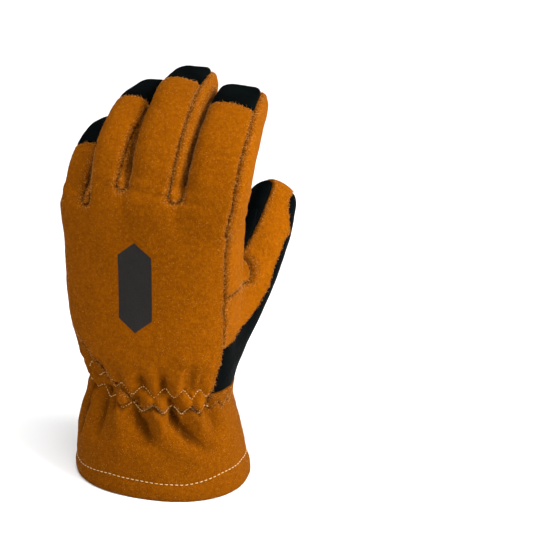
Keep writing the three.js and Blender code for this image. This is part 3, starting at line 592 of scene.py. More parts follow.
def thumb_local(sizes, line, points):
    """Distance from the thumb's surface and the place along and round it"""
    local = far_local(len(points), line)
    near = near_line(line.point, points, 34.0)
    if not len(near):
        return local
    i = nearest(line.point, points[near])
    off = points[near] - line.point[i]
    s = line.s[i] + (off * line.along[i]).sum(1)
    u = (off * line.side[i]).sum(1)
    v = (off * line.palm[i]).sum(1)
    rows = np.array(THUMB_SECTIONS).T
    at = np.clip(s / line.length, 0, 1)
    across = sizes.thumb_width / 2 * hermite(rows[0], rows[4], at)
    deep = sizes.thumb_width / 2 * hermite(rows[0], rows[5], at)
    into = np.clip((s - line.length + TIP_ROUND) / TIP_ROUND, 0, None)
    distance = tip_distance(np.abs(u) / deep + 1e-9, np.abs(v) / across + 1e-9, THUMB_ROUND,
                            deep, across, into, TIP_ROUND)
    distance = np.maximum(distance, -s)
    return fill_local(local, near, distance=distance, s=s, u=u, v=v, width=deep, depth=across)


# Panels, each a signed distance from its outline that is negative on the panel


def back_seam(local, side):
    """Direction of the seam between a finger's back and one of its sides"""
    at = np.clip(local.s / local.line.length, 0, 1)
    out = FINGER_BACK_SEAM[0]
    if side > 0:
        out = hermite(THIRDS, local.line.row["seam"], at)
    return out * local.width, FINGER_BACK_SEAM[1] * local.depth


def finger_side(local, side):
    """The wall of a finger between its back and palm, ending in a rounded tongue under the tip"""
    u = side * local.u
    back = -cross(back_seam(local, side), u, local.v)
    palm = cross((FINGER_PALM_SEAM[0] * local.width, FINGER_PALM_SEAM[1] * local.depth), u, local.v)
    line = local.line
    half = np.maximum(-(back + palm) / 2, 2.0)
    end = line.length - sizes_now().panel_tip - half
    tongue = np.hypot((back - palm) / 2, np.maximum(local.s - end, 0)) - half
    tongue = np.maximum(tongue, 0.50 * local.width - u)
    tongue = np.maximum(tongue, local.v - 0.10 * local.depth)
    share = ramp(local.s, end - 8, end)
    region = np.maximum(back, palm) * (1 - share) + tongue * share
    return np.maximum(region, line.row["strip"] * line.length - local.s)


def finger_back(local):
    """The strip of the back panel that runs up a finger to the black cap"""
    right = cross(back_seam(local, 1), local.u, local.v)
    left = cross(back_seam(local, -1), -local.u, local.v)
    across = local.u / local.width
    end = local.line.length - local.line.row["cap"] + 2.0 * (1 - across ** 2)
    return np.maximum(np.maximum(right, left), np.maximum(local.s - end, -local.s))


def sizes_now():
    """The sizes that the glove was prepared with"""
    return GLOVE["sizes"]


def web_regions(points, fingers, own):
    """The side walls between the fingers, each with the slot that it fills in the back"""
    x, y, z = points.T
    regions = {}
    for piece, first, second, web_x, web_z, radius in WEBS:
        left = np.maximum(finger_side(fingers[first], 1), own[first])
        right = np.maximum(finger_side(fingers[second], -1), own[second])
        up = np.clip(z - web_z - radius, 0, SLOT_REACH)
        taper = radius * (1 - 0.9 * up / SLOT_REACH)
        slot = np.hypot(x - web_x - SLOT_LEAN * up, z - web_z - radius - up) - taper
        slot = np.maximum(slot, np.abs(y - SLOT_MIDDLE) - SLOT_DEEP)
        regions[piece] = smooth_least(np.minimum(left, right), slot, 3.0)
    return regions


def hand_seams(trunk):
    """Distances past the back's right and left seams, negative on the back"""
    low, high = HAND_SEAM_HEIGHTS
    turned_in = np.clip((trunk.z - low) / (high - low), 0, 1)
    seam = [wrist + turned_in * (hand - wrist) for wrist, hand in zip(WRIST_SEAM, TRUNK_BACK_SEAM)]
    drift = hermite(*SEAM_DRIFT, trunk.z)
    right_line = ((seam[0] + drift) * trunk.width, seam[1] * trunk.back)
    left_line = (seam[0] * trunk.width, seam[1] * trunk.back)
    return cross(right_line, trunk.u, trunk.v), cross(left_line, -trunk.u, trunk.v)


def index_region(points, right_of_back, finger, own):
    """The index finger's side wall, which widens into a lobe over the thumb's root"""
    x, y, z = points.T
    lobe = np.maximum(np.maximum(-right_of_back, (y - hermite(*INDEX_PALM_EDGE, z)) * 0.85),
                      hermite(*INDEX_LOWER_EDGE, y) - z)
    lobe = np.maximum(np.maximum(lobe, z - SIDE_WALL_TOP), -x)
    return smooth_least(lobe, np.maximum(finger_side(finger, 1), own), 4.0)


def little_region(points, left_of_back, trunk, finger, own):
    """The little finger's side wall and the edge of the hand under it"""
    x, z = points[:, 0], points[:, 2]
    palm_line = (TRUNK_PALM_SEAM[0] * trunk.width, TRUNK_PALM_SEAM[1] * trunk.palm)
    edge = np.maximum(-left_of_back, cross(palm_line, -trunk.u, trunk.v))
    edge = np.maximum(np.maximum(edge, LITTLE_SIDE_START - z), z - SIDE_WALL_TOP)
    edge = np.maximum(edge, x)
    return smooth_least(edge, np.maximum(finger_side(finger, -1), own), 4.0)


def wing_edge(points, trunk):
    """Height of the cuff's upper edge, with the wing up the little-finger side"""
    turn = np.degrees(trunk.turn)
    gather_edge = np.where(turn < -100, 0, gather_lines(turn)[1] + 0.8)
    return smooth_most(hermite(*WING_EDGE, points[:, 0]), gather_edge, 4.0)


def cuff_region(points, trunk, wing):
    """The back of the cuff, round to the two seams on the palm side"""
    x, z = points[:, 0], points[:, 2]
    lean = np.interp(x, [-10, 0], [0.75, 1.0])
    near = -cross((math.cos(CUFF_WEDGE), math.sin(CUFF_WEDGE)), trunk.u, trunk.v)
    far = cross((-math.cos(CUFF_WEDGE), math.sin(CUFF_WEDGE)), trunk.u, trunk.v)
    return np.maximum(-np.maximum(near, far), (z - wing) * lean)


def thumb_region(points, trunk, right_of_back, thumb):
    """The back of the thumb: a strip up to its tip and the fan at its root"""
    x, y, z = points.T
    across = thumb.v / thumb.depth
    at = np.clip(thumb.s / thumb.line.length, 0, 1)
    far_edge = hermite(*THUMB_FAR_EDGE, at)
    near_edge = hermite(*THUMB_NEAR_EDGE, at)
    strip = np.maximum((across - far_edge) * thumb.depth, (near_edge - across) * thumb.depth)
    strip = np.maximum(strip, -thumb.u - 1.5 * ramp(at, 0.85, 1.0))
    strip = np.maximum(strip, 0.20 * thumb.line.length - thumb.s)
    fan = np.maximum(-right_of_back, cross((0.88 * trunk.width, 0.60 * trunk.palm), trunk.u, trunk.v))
    fan = np.maximum(fan, -x)
    lower = hermite(*THUMB_LOWER_EDGE, y) + 0.7 * noise(points, 6, 6)
    fan = np.maximum(fan, z - 150)
    return np.maximum(smooth_least(fan, strip, 6.0), (lower - z) * 0.9)


def panel_shares(regions):
    """Each panel's part of its region, after those before it have taken theirs"""
    shares = {}
    taken = np.full(len(regions["back_panel"]), 99.0)
    for name in (*PANEL_ORDER, "cuff_palm"):
        shares[name] = np.maximum(regions[name], -taken)
        taken = np.minimum(taken, regions[name])
    shares["palm_panel"] = -taken
    return shares


def lap_height(shares, z):
    """How high a panel that laps over its neighbours stands there"""
    lap = sum(np.where(shares[name] < 0, high, 0) for name, high in LAPS.items() if name != "back_panel")
    return lap + np.where(shares["back_panel"] < 0, LAPS["back_panel"] * fade(z, 105, 130), 0)


def seam_depth(z, regions, strips):
    """How far the seams are drawn in, between edges that roll up a little"""
    turned = np.min([np.abs(regions[name]) for name in SIDE_WALLS], axis=0)
    rolled = 0.35 * np.exp(-((turned - 3.2) / 1.6) ** 2)
    depth = 0.85 * np.exp(-(turned / 1.4) ** 2) - rolled
    depth += 0.45 * np.exp(-(np.abs(strips) / 1.3) ** 2) * ramp(z, 205, 211)
    return depth * ramp(z, 100, 112)


def trunk_relief(sizes, turn, z):
    """Folds and gathers of the wrist, held down by their stitches"""
    upper, lower = gather_lines(np.degrees(turn))
    held = 0.75 * np.exp(-((z - lower) / 3.0) ** 2) + 0.6 * np.exp(-((z - upper) / 3.0) ** 2)
    folds = fold_height(sizes, turn, z) * fade(z, 92, 108) * (1 - np.minimum(held, 0.8))
    return folds + gather_height(np.degrees(turn), z)


def describe(points):
    """The leather's surface, the panels' shares of it and its hollows and laps at some points"""
    sizes = sizes_now()
    z = points[:, 2]
    trunk = trunk_local(points)
    fingers = {name: finger_local(sizes, line, points) for name, line in GLOVE["fingers"].items()}
    thumb = thumb_local(sizes, GLOVE["thumb"], points)
    own = {}
    for name, finger in fingers.items():
        rest = np.min([other.distance for key, other in fingers.items() if key != name], axis=0)
        own[name] = (finger.distance - rest) / 2
    all_fingers = np.min([np.maximum(finger.distance, own[name] + FINGER_SLIT)
                          for name, finger in fingers.items()], axis=0)
    surface = smooth_least(trunk.distance, all_fingers, 10.0)
    surface = smooth_least(surface, thumb.distance, 10.0)

    right_of_back, left_of_back = hand_seams(trunk)
    wing = wing_edge(points, trunk)
    regions = web_regions(points, fingers, own)
    regions["index_side_panel"] = index_region(points, right_of_back, fingers["index"], own["index"])
    regions["little_side_panel"] = little_region(points, left_of_back, trunk, fingers["little"],
                                                 own["little"])
    regions["cuff_back"] = cuff_region(points, trunk, wing)
    regions["cuff_palm"] = z - np.interp(points[:, 0], *CUFF_PALM_TOP)
    regions["thumb_panel"] = thumb_region(points, trunk, right_of_back, thumb)
    raw_edge = 0.8 * noise(points, 8, 5) * fade(z, 100, 125)
    back = np.maximum(np.maximum(right_of_back + raw_edge, left_of_back), wing - z)
    back = np.maximum(back, z - STRIP_START)
    strips = np.min([np.maximum(finger_back(finger), own[name]) for name, finger in fingers.items()],
                    axis=0)
    regions["back_panel"] = smooth_least(back, strips, 3.0)
    shares = panel_shares(regions)

    depth = seam_depth(z, regions, strips)
    folds = trunk_relief(sizes, trunk.turn, z)
    hem = 0.7 * np.sin(math.pi * np.clip(z / 11, 0, 1))
    hem -= 0.45 * np.exp(-((z - hem_line(np.degrees(trunk.turn))) / 1.6) ** 2)
    uneven = 0.45 * noise(points, 17, 1) + 0.25 * noise(points, 7, 2)
    surface = surface - folds - hem - uneven * ramp(z, 0, 12) + depth
    # depth of seams and folds: the suede paints shade into it, and the panels' walls thicken there
    hollow = ramp(depth, 0.2, 0.9) * 0.5 + ramp(-folds, 0.2, 3.4)
    return SimpleNamespace(surface=surface, shares=shares, hollow=hollow, lap=lap_height(shares, z))


GLOVE = {}


def prepare():
    """The glove's lines and its whole form on a grid, worked out once for all panels"""
    if "band" in GLOVE:
        return
    sizes = glove_sizes()
    GLOVE["sizes"] = sizes
    GLOVE["trunk"] = trunk_table(sizes)
    GLOVE["fingers"] = {name: finger_line(sizes, name, row) for name, row in FINGERS.items()}
    GLOVE["thumb"] = thumb_line(sizes)
    cell = sizes.grain * 1.0
    low = (*GLOVE_BOX[0], -3 * cell)
    GLOVE["band"] = sample_band(low, GLOVE_BOX[1], cell, -sizes.wall, 2.5)


def sample_band(low, high, cell, deepest, margin):
    """Grid points near the wall of the glove, and everything about them"""
    low = np.array(low)
    blocks = np.ceil((np.array(high) - low) / (3 * cell)).astype(int)
    centres = np.stack(np.meshgrid(*[np.arange(n) for n in blocks], indexing="ij"), -1).reshape(-1, 3)
    rough = describe(low + (centres * 3 + 1) * cell).surface
    keep = (rough < 3.0 * cell + margin) & (rough > deepest - 3.0 * cell - margin)
    offsets = np.stack(np.meshgrid(*[np.arange(3)] * 3, indexing="ij"), -1).reshape(-1, 3)
    voxels = (centres[keep][:, None] * 3 + offsets[None]).reshape(-1, 3)
    return voxels, low, cell, describe(low + voxels * cell)


def surface_net(field):
    """Vertices and quads of the zero surface of a block of distances, in grid units"""
    inside = field < 0
    nx, ny, nz = field.shape
    count = np.zeros((nx - 1, ny - 1, nz - 1), np.uint8)
    for i in (0, 1):
        for j in (0, 1):
            for k in (0, 1):
                count += inside[i:nx - 1 + i, j:ny - 1 + j, k:nz - 1 + k]
    mixed = (count > 0) & (count < 8)
    cells = np.argwhere(mixed)
    index = np.full(mixed.shape, -1, np.int64)
    index[mixed] = np.arange(len(cells))
    total = np.zeros((len(cells), 3))
    crossings = np.zeros(len(cells))
    corners = [(i, j, k) for i in (0, 1) for j in (0, 1) for k in (0, 1)]
    for a in corners:
        for b in corners:
            if sum(b) != sum(a) + 1 or any(q < p for p, q in zip(a, b)):
                continue
            start = field[tuple((cells + a).T)]
            end = field[tuple((cells + b).T)]
            cut = (start < 0) != (end < 0)
            t = np.where(cut, start / np.where(cut, start - end, 1), 0)
            total += np.where(cut[:, None], np.array(a) + t[:, None] * (np.array(b) - np.array(a)), 0)
            crossings += cut
    vertices = cells + total / crossings[:, None]
    quads = []
    for axis in range(3):
        one, two = np.eye(3, dtype=int)[(axis + 1) % 3], np.eye(3, dtype=int)[(axis + 2) % 3]
        low = [slice(None)] * 3
        high = [slice(None)] * 3
        low[axis] = slice(None, -1)
        high[axis] = slice(1, None)
        change = inside[tuple(low)] != inside[tuple(high)]
        edge = np.argwhere(change)
        clear = (edge[:, (axis + 1) % 3] > 0) & (edge[:, (axis + 2) % 3] > 0)
        clear &= (edge + 1 < np.array(field.shape)).all(1)
        edge = edge[clear]
        ring = [index[tuple((edge - one - two).T)], index[tuple((edge - two).T)],
                index[tuple(edge.T)], index[tuple((edge - one).T)]]
        ring = np.stack(ring, axis=1)
        flip = ~inside[tuple(edge.T)]
        ring[flip] = ring[flip][:, ::-1]
        quads.append(ring)
    quads = np.concatenate(quads)
    return vertices, quads[(quads >= 0).all(1)]


def largest_body(count, quads):
    """Which vertices belong to the largest connected body"""
    label = np.arange(count)
    edges = np.concatenate([quads[:, [0, 1]], quads[:, [1, 2]], quads[:, [2, 3]]])
    while True:
        least = np.minimum(label[edges[:, 0]], label[edges[:, 1]])
        new = label.copy()
        np.minimum.at(new, edges[:, 0], least)
        np.minimum.at(new, edges[:, 1], least)
        new = new[new]
        if (new == label).all():
            break
        label = new
    return label == np.bincount(label).argmax()


def relax(vertices, quads, times):
    """Evens the vertices out a little against their neighbours without shrinking the form"""
    edges = np.concatenate([quads[:, [0, 1]], quads[:, [1, 2]], quads[:, [2, 3]], quads[:, [3, 0]]])
    degree = np.bincount(edges.ravel(), minlength=len(vertices))
    for k in range(2 * times):
        total = np.zeros_like(vertices)
        for axis in range(3):
            total[:, axis] = (np.bincount(edges[:, 0], vertices[edges[:, 1], axis], len(vertices))
                              + np.bincount(edges[:, 1], vertices[edges[:, 0], axis], len(vertices)))
        step = 0.5 if k % 2 == 0 else -0.52
        vertices = vertices + step * (total / degree[:, None] - vertices)
    return vertices


def build_mesh(name, vertices, faces):
    """A mesh object in the row frame from millimetre points and faces of equal length"""
    mesh = bpy.data.meshes.new(name)
    corners = faces.shape[1]
    mesh.vertices.add(len(vertices))
    mesh.vertices.foreach_set("co", ((vertices - GLOVE_MIDDLE) * MM).astype(np.float32).ravel())
    mesh.loops.add(faces.size)
    mesh.loops.foreach_set("vertex_index", faces.astype(np.int32).ravel())
    mesh.polygons.add(len(faces))
    mesh.polygons.foreach_set("loop_start", (np.arange(len(faces)) * corners).astype(np.int32))
    mesh.polygons.foreach_set("use_smooth", np.full(len(faces), True))
    mesh.update(calc_edges=True)
    mesh.validate()
    piece = bpy.data.objects.new(name, mesh)
    bpy.context.scene.collection.objects.link(piece)
    return piece


def sew(piece, node, material):
    """Everything that a finished panel needs besides its shape"""
    piece.data.materials.append(material)
    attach(piece, "root")
    if node:
        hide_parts(node)


def make_panel(name, node, material):
    """One leather panel: the part of the wall inside its outline"""
    prepare()
    voxels, low, cell, about = GLOVE["band"]
    sizes = sizes_now()
    share = about.shares[node] + sizes.seam_gap / 2
    z = low[2] + voxels[:, 2] * cell
    lap = LAPS.get(node, 0.0) * (fade(z, 105, 130) if node == "back_panel" else 1.0)
    shell = np.maximum(about.surface - lap, -(about.surface + sizes.wall + 0.4 * about.hollow))
    field = smooth_most(shell, share, 0.8)
    field = smooth_most(field, -z, 1.0)
    return cut_piece(name, node, material, GLOVE["band"], field, share < 3 * cell)


def patch_corners():
    """Corners of the palm's second layer in x and height"""
    corners = np.array(PALM_PATCH) * (sizes_now().palm_half_width, sizes_now().hand_length)
    corners[:, 1] += sizes_now().cuff_length
    return corners


def patch_outline(x, z):
    """Signed distance from the outline of the palm's second layer"""
    points = patch_corners()
    nearest_edge = np.full(len(x), 1e9)
    inside = np.zeros(len(x), bool)
    for (ax, az), (bx, bz) in zip(points, np.roll(points, -1, axis=0)):
        dx, dz = bx - ax, bz - az
        along = np.clip(((x - ax) * dx + (z - az) * dz) / (dx * dx + dz * dz), 0, 1)
        nearest_edge = np.minimum(nearest_edge, np.hypot(x - ax - along * dx, z - az - along * dz))
        crosses = (az > z) != (bz > z)
        inside ^= crosses & (x < ax + (z - az) * dx / np.where(dz == 0, 1e-9, dz))
    return np.where(inside, -nearest_edge, nearest_edge) - PATCH_CORNER


def make_patch(name, node, material):
    """The second layer of leather, laid over the palm"""
    prepare()
    cell = PATCH_GRAIN * 1.0
    band = sample_band(*PATCH_BOX, cell, 0.0, PATCH_THICK)
    voxels, low, cell, about = band
    points = low + voxels * cell
    share = patch_outline(points[:, 0], points[:, 2])
    share = np.maximum(share, about.shares["palm_panel"] + 1.5)
    shell = np.maximum(about.surface - PATCH_THICK, 0.15 - about.surface)
    field = smooth_most(shell, share, 0.6)
    field = np.maximum(field, 4 - points[:, 1])
    return cut_piece(name, node, material, band, field, share < 3 * cell)


def cut_piece(name, node, material, band, field, near):
    """A closed mesh of the largest body inside a field of distances"""
    voxels, low, cell, about = band
    used = voxels[near]
    start = used.min(0) - 2
    size = used.max(0) - start + 3
    block = np.full(size, FAR, np.float32)
    block[tuple((used - start).T)] = field[near]
    vertices, quads = surface_net(block)
    keep = largest_body(len(vertices), quads)
    number = np.cumsum(keep) - 1
    quads = number[quads[keep[quads[:, 0]]]]
    vertices = relax(vertices[keep], quads, 1)
    points = low + (vertices + start) * cell
    piece = build_mesh(name, points, quads)
    add_seam_and_shade_marks(piece, points)
    sew(piece, node, material)
    return piece


def add_seam_and_shade_marks(piece, points):
    """Per-vertex marks that the materials read: nearness to a seam, and the depth of folds and seam
    grooves, which the suede uses for painted shade
    """
    about = describe(points)
    share = np.min([np.abs(value) for value in about.shares.values()], axis=0)
    outside = np.abs(about.surface - about.lap) < 0.9
    GLOVE.setdefault("outside", {})[piece.name] = (points[outside], share[outside])
    marks = {
        "seam": np.exp(-(share / 2.2) ** 2),
        "hollow": about.hollow,
    }
    for mark, values in marks.items():
        attribute = piece.data.attributes.new(mark, "FLOAT", "POINT")
        attribute.data.foreach_set("value", values.astype(np.float32))


# Stitches


def trunk_places(turns, z):
    """Points on the trunk at some turns in degrees and heights"""
    z = np.broadcast_to(np.asarray(z, float), np.shape(turns))
    cx, cy, width, back, palm, square = trunk_sections(z)
    turn = np.radians(turns)
    cos, sin = np.cos(turn), np.sin(turn)
    x = cx + width * np.sign(cos) * np.abs(cos) ** (2 / square)
    y = cy + np.where(sin > 0, palm, back) * np.sign(sin) * np.abs(sin) ** (2 / square)
    return np.stack([x, y, z], axis=1)


def palm_places(x, z):
    """Points on the palm side of the trunk from places in x and z"""
    cx, cy, width, _, palm, square = trunk_sections(z)
    share = np.clip(np.abs(x - cx) / width, 0, 0.99)
    return np.stack([x, cy + palm * (1 - share ** square) ** (1 / square), z], axis=1)


def to_surface(points, lift):
    """Points moved square to the leather until they stand a little over it, and the outward way"""
    points = np.array(points, float)
    small = 0.4
    for _ in range(4):
        about = describe(points)
        value = about.surface
        ways = [describe(points + small * axis).surface - value for axis in np.eye(3)]
        slope = np.stack(ways, axis=1) / small
        strength = np.maximum((slope ** 2).sum(1), 0.2)
        step = np.clip((value - about.lap - lift) / strength, -4, 4)
        points = points - slope * step[:, None]
    return points, unit(slope)


def even_places(points, pitch):
    """Places along a path at an even pitch"""
    points = np.asarray(points, float)
    steps = np.linalg.norm(np.diff(points, axis=0), axis=1)
    along = np.concatenate([[0], np.cumsum(steps)])
    count = max(int(along[-1] / pitch), 1)
    at = np.linspace(0, along[-1], count + 1)
    return np.stack([np.interp(at, along, points[:, axis]) for axis in range(3)], axis=1)


def stitch_mesh(name, starts, ends, outward, thick, material):
    """Each stitch is a bead of thread that dips into the leather at both ends"""
    sides = 6
    rings = [(-0.02, 0.35, -0.45), (0.12, 0.85, 0.05), (0.5, 1.0, 0.35), (0.88, 0.85, 0.05),
             (1.02, 0.35, -0.45)]
    way = unit(ends - starts)
    across = unit(np.cross(way, outward))
    up = np.cross(across, way)
    angle = np.arange(sides) * 2 * math.pi / sides
    vertices = []
    for at, wide, high in rings:
        centre = starts + (ends - starts) * at + up * (high * thick)
        for a in angle:
            vertices.append(centre + (across * math.cos(a) + up * math.sin(a)) * (wide * thick / 2))
    vertices = np.stack(vertices, axis=1)
    count = len(starts)
    faces = []
    for ring in range(len(rings) - 1):
        for k in range(sides):
            after = (k + 1) % sides
            faces.append((ring * sides + k, ring * sides + after,
                          (ring + 1) * sides + after, (ring + 1) * sides + k))
    last = (len(rings) - 1) * sides
    for k in range(1, sides - 2, 2):
        faces.append((0, (k + 2) % sides, k + 1, k))
        faces.append((last, last + k, last + k + 1, last + (k + 2) % sides))
    per = vertices.shape[1]
    faces = np.array(faces)[None] + (np.arange(count) * per)[:, None, None]
    piece = build_mesh(name, vertices.reshape(-1, 3), faces.reshape(-1, 4))
    sew(piece, None, material)
    return piece


def sew_rows(name, rows, stitch, material, lift=0.05, panel=None):
    """Rows of stitches along paths, laid on the leather or a little over it"""
    pitch, fill, thick = stitch
    starts, ends = [], []
    for row in rows:
        places = even_places(row, pitch)
        starts.append(places[:-1])
        ends.append(places[:-1] + (places[1:] - places[:-1]) * fill)
    starts, outward = to_surface(np.concatenate(starts), lift)
    ends, _ = to_surface(np.concatenate(ends), lift)
    about = describe((starts + ends) / 2)
    keep = np.abs(about.surface - about.lap - lift) < 0.8
    keep &= np.linalg.norm(ends - starts, axis=1) < 1.6 * pitch
    if panel:
        keep &= about.shares[panel] < -0.8
    return stitch_mesh(name, starts[keep], ends[keep], outward[keep], thick, material)


def nap_mesh(name, pieces, count, material):
    """Short loose fibres that stand off the suede, thickest along its edges"""
    rng = np.random.default_rng(11)
    roots = np.concatenate([GLOVE["outside"][piece][0] for piece in pieces])
    x, z, beside, above = PRINT_CLEAR
    printed = (np.abs(roots[:, 0] - x) < beside) & (np.abs(roots[:, 2] - z) < above) & (roots[:, 1] < 0)
    share = np.concatenate([GLOVE["outside"][piece][1] for piece in pieces])
    weight = np.where(printed, 0, 0.12 + np.exp(-((share - 1.5) / 1.2) ** 2))
    chosen = rng.choice(len(roots), count, p=weight / weight.sum())
    roots = roots[chosen] + rng.uniform(-0.5, 0.5, (count, 3)) * sizes_now().grain
    roots, outward = to_surface(roots, -0.1)
    edge = np.exp(-(share[chosen] / 1.8) ** 2)[:, None]
    lean = rng.normal(0, 1, (count, 3))
    lean -= outward * (lean * outward).sum(1, keepdims=True)
    way = unit(outward * rng.uniform(0.35, 0.9, (count, 1)) + unit(lean) * 0.8 - [0, 0, 0.15])
    tips = roots + way * rng.uniform(0.45, 1.0, (count, 1)) * (1 + 0.7 * edge)
    across = unit(np.cross(way, rng.normal(0, 1, (count, 3))))
    other = np.cross(way, across)
    aside, beyond = across * NAP_HALF, other * NAP_HALF * 0.87
    corners = np.stack([roots + aside, roots - aside / 2 + beyond, roots - aside / 2 - beyond, tips],
                       axis=1)
    faces = np.array([(0, 1, 2), (0, 3, 1), (1, 3, 2), (2, 3, 0)])
    faces = faces[None, :, ::-1] + (np.arange(count) * 4)[:, None, None]
    piece = build_mesh(name, corners.reshape(-1, 3), faces.reshape(-1, 3))
    sew(piece, None, material)
    return piece


def zigzag_row(upper):
    """One row of the gathering zigzag round the back of the wrist"""
    turns = np.arange(-170, -36, 0.5)
    return trunk_places(turns, gather_lines(turns)[0 if upper else 1])


def hem_row():
    """The row of stitches round the hem"""
    turns = np.arange(-180, 181, 2.0)
    return trunk_places(turns, hem_line(turns))


def patch_border():
    """The row just inside the edge of the palm's second layer"""
    corners = patch_corners()
    middle = corners.mean(0)
    corners = np.concatenate([corners, corners[:1]])
    corners = corners + (middle - corners) * 0.035
    border = even_places(np.stack([corners[:, 0], 0 * corners[:, 0], corners[:, 1]], axis=1), 1.0)
    return palm_places(border[:, 0], border[:, 2])


def cap_row(line, back_from_tip):
    """A row across the front of a finger under its tip"""
    share = np.linspace(-0.75, 0.75, 15)
    s = np.full(15, line.length - back_from_tip)
    width = line.row["width"] * sizes_now().finger_width / 2
    return finger_place(line, s, share * width, np.full(15, sizes_now().finger_depth * 0.42))


def palm_row(x_places, z_places, rise=0):
    """A row across the palm side, from places in x and z"""
    x = np.linspace(x_places[0], x_places[-1], 60)
    return palm_places(x, hermite(x_places, np.array(z_places) + rise, x))


# Materials


class Nodes:
    """Short ways to add and link shader nodes"""

    def __init__(self, name):
        self.material = bpy.data.materials.new(name)
        self.material.use_nodes = True
        self.tree = self.material.node_tree
        self.shader = self.tree.nodes["Principled BSDF"]

    def add(self, kind, links=None, **values):
        node = self.tree.nodes.new(kind)
        for key, value in values.items():
            setattr(node, key, value)
        for socket, source in (links or {}).items():
            if isinstance(source, bpy.types.NodeSocket):
                self.tree.links.new(source, node.inputs[socket])
            else:
                node.inputs[socket].default_value = source
        return node

    def math(self, operation, a, b=0.5):
        return self.add("ShaderNodeMath", {0: a, 1: b}, operation=operation).outputs[0]

    def noise(self, vector, scale, detail=4.0, roughness=0.6):
        links = {"Vector": vector, "Scale": scale, "Detail": detail, "Roughness": roughness}
        return self.add("ShaderNodeTexNoise", links).outputs["Fac"]

    def band(self, value, low, high, to_low=0.0, to_high=1.0):
        links = {"Value": value, "From Min": low, "From Max": high, "To Min": to_low, "To Max": to_high}
        return self.add("ShaderNodeMapRange", links).outputs["Result"]

    def blend(self, share, first, second):
        node = self.add("ShaderNodeMix", data_type="RGBA")
        for socket, source in ((node.inputs[0], share), (node.inputs[6], first), (node.inputs[7], second)):
            if isinstance(source, bpy.types.NodeSocket):
                self.tree.links.new(source, socket)
            else:
                socket.default_value = source
        return node.outputs[2]

    def mark(self, name):
        return self.add("ShaderNodeAttribute", attribute_name=name).outputs["Fac"]

    def bump(self, height, strength, distance):
        links = {"Height": height, "Strength": strength, "Distance": distance}
        return self.add("ShaderNodeBump", links).outputs["Normal"]

    def finish(self, color, roughness, normal):
        for socket, source in (("Base Color", color), ("Roughness", roughness), ("Normal", normal)):
            if isinstance(source, bpy.types.NodeSocket):
                self.tree.links.new(source, self.shader.inputs[socket])
            else:
                self.shader.inputs[socket].default_value = source
        return self.material


def tone(color, share):
    """A colour made darker or brighter"""
    return (color[0] * share, color[1] * share, color[2] * share, 1.0)


def suede_material(name, painted_light_level, nap, print_on=False):
    """Orange split leather: mottled, brushed, paler where rubbed and darker in its seams, with painted
    shade in its folds and seam grooves and a brightness per panel that paints how lit it is
    """
    if name in bpy.data.materials:
        return bpy.data.materials[name]
    color = tuple(bpy.context.scene.glove_colours.suede)
    n = Nodes(name)
    place = n.add("ShaderNodeTexCoord").outputs["Object"]
    clouds = n.noise(place, 38.0, 3.0)
    mottle = n.noise(place, 420.0, 4.0, 0.65)
    fibres = n.noise(place, 1300.0, 3.0, 0.7)
    # painted light: the panel's brightness factor scales every tone, as if the panel were lit more or less
    deep = tone(color, 0.60 * painted_light_level)
    mid = tone(color, 1.0 * painted_light_level)
    pale = (min(color[0] * 1.55 * painted_light_level, 1), color[1] * 1.70 * painted_light_level, color[2] * 2.0 * painted_light_level, 1.0)
    paint = n.blend(n.band(clouds, 0.35, 0.68), tone(color, 0.84 * painted_light_level), mid)
    paint = n.blend(n.band(mottle, 0.44, 0.72, 0.0, 0.55), paint, pale)
    paint = n.blend(n.band(mottle, 0.44, 0.26, 0.0, 0.45), paint, deep)
    paint = n.blend(n.band(fibres, 0.54, 0.74, 0.0, min(0.75 * nap, 1.0)), paint, pale)
    paint = n.blend(n.band(fibres, 0.46, 0.28, 0.0, min(0.75 * nap, 1.0)), paint, deep)
    paint = n.blend(n.math("MULTIPLY", n.mark("seam"), 0.42), paint, tone(color, 0.36 * painted_light_level))
    # painted shade: darker in the folds and seam grooves, where shade falls
    paint = n.blend(n.math("MULTIPLY", n.mark("hollow"), 0.85), paint, tone(color, 0.26 * painted_light_level))
    if print_on:
        paint = n.blend(print_mask(n, place, mottle), paint, (0.018, 0.017, 0.016, 1.0))
    height = n.math("ADD", n.math("MULTIPLY", fibres, 0.6), n.math("MULTIPLY", mottle, 0.8))
    normal = n.bump(height, 0.8, 0.0011 * nap)
    rough = n.band(mottle, 0.3, 0.7, 0.82, 0.98)
    n.shader.inputs["Sheen Weight"].default_value = 0.05
    n.shader.inputs["Sheen Roughness"].default_value = 0.40
    n.shader.inputs["Sheen Tint"].default_value = (1.0, 0.45, 0.05, 1.0)
    n.shader.inputs["Specular IOR Level"].default_value = 0.015
    return n.finish(paint, rough, normal)


def print_mask(n, place, mottle):
    """A plain upright bar with slanted ends, printed on the back of the hand"""
    split = n.add("ShaderNodeSeparateXYZ", {0: place})
    x = n.math("SUBTRACT", split.outputs["X"], PRINT_MIDDLE[0])
    z = n.math("SUBTRACT", split.outputs["Z"], PRINT_MIDDLE[1])
    beside = n.math("ABSOLUTE", x, 0.0)
    slanted = n.math("ADD", n.math("ABSOLUTE", z, 0.0), n.math("MULTIPLY", beside, PRINT_SLANT))
    tall = n.band(slanted, PRINT_HALF[1], PRINT_HALF[1] + 0.0006, 1.0, 0.0)
    wide = n.band(beside, PRINT_HALF[0], PRINT_HALF[0] + 0.0004, 1.0, 0.0)
    front = n.math("LESS_THAN", split.outputs["Y"], -0.02)
    worn = n.band(mottle, 0.72, 0.80, 1.0, 0.55)
    return n.math("MULTIPLY", n.math("MULTIPLY", tall, wide), n.math("MULTIPLY", front, worn))


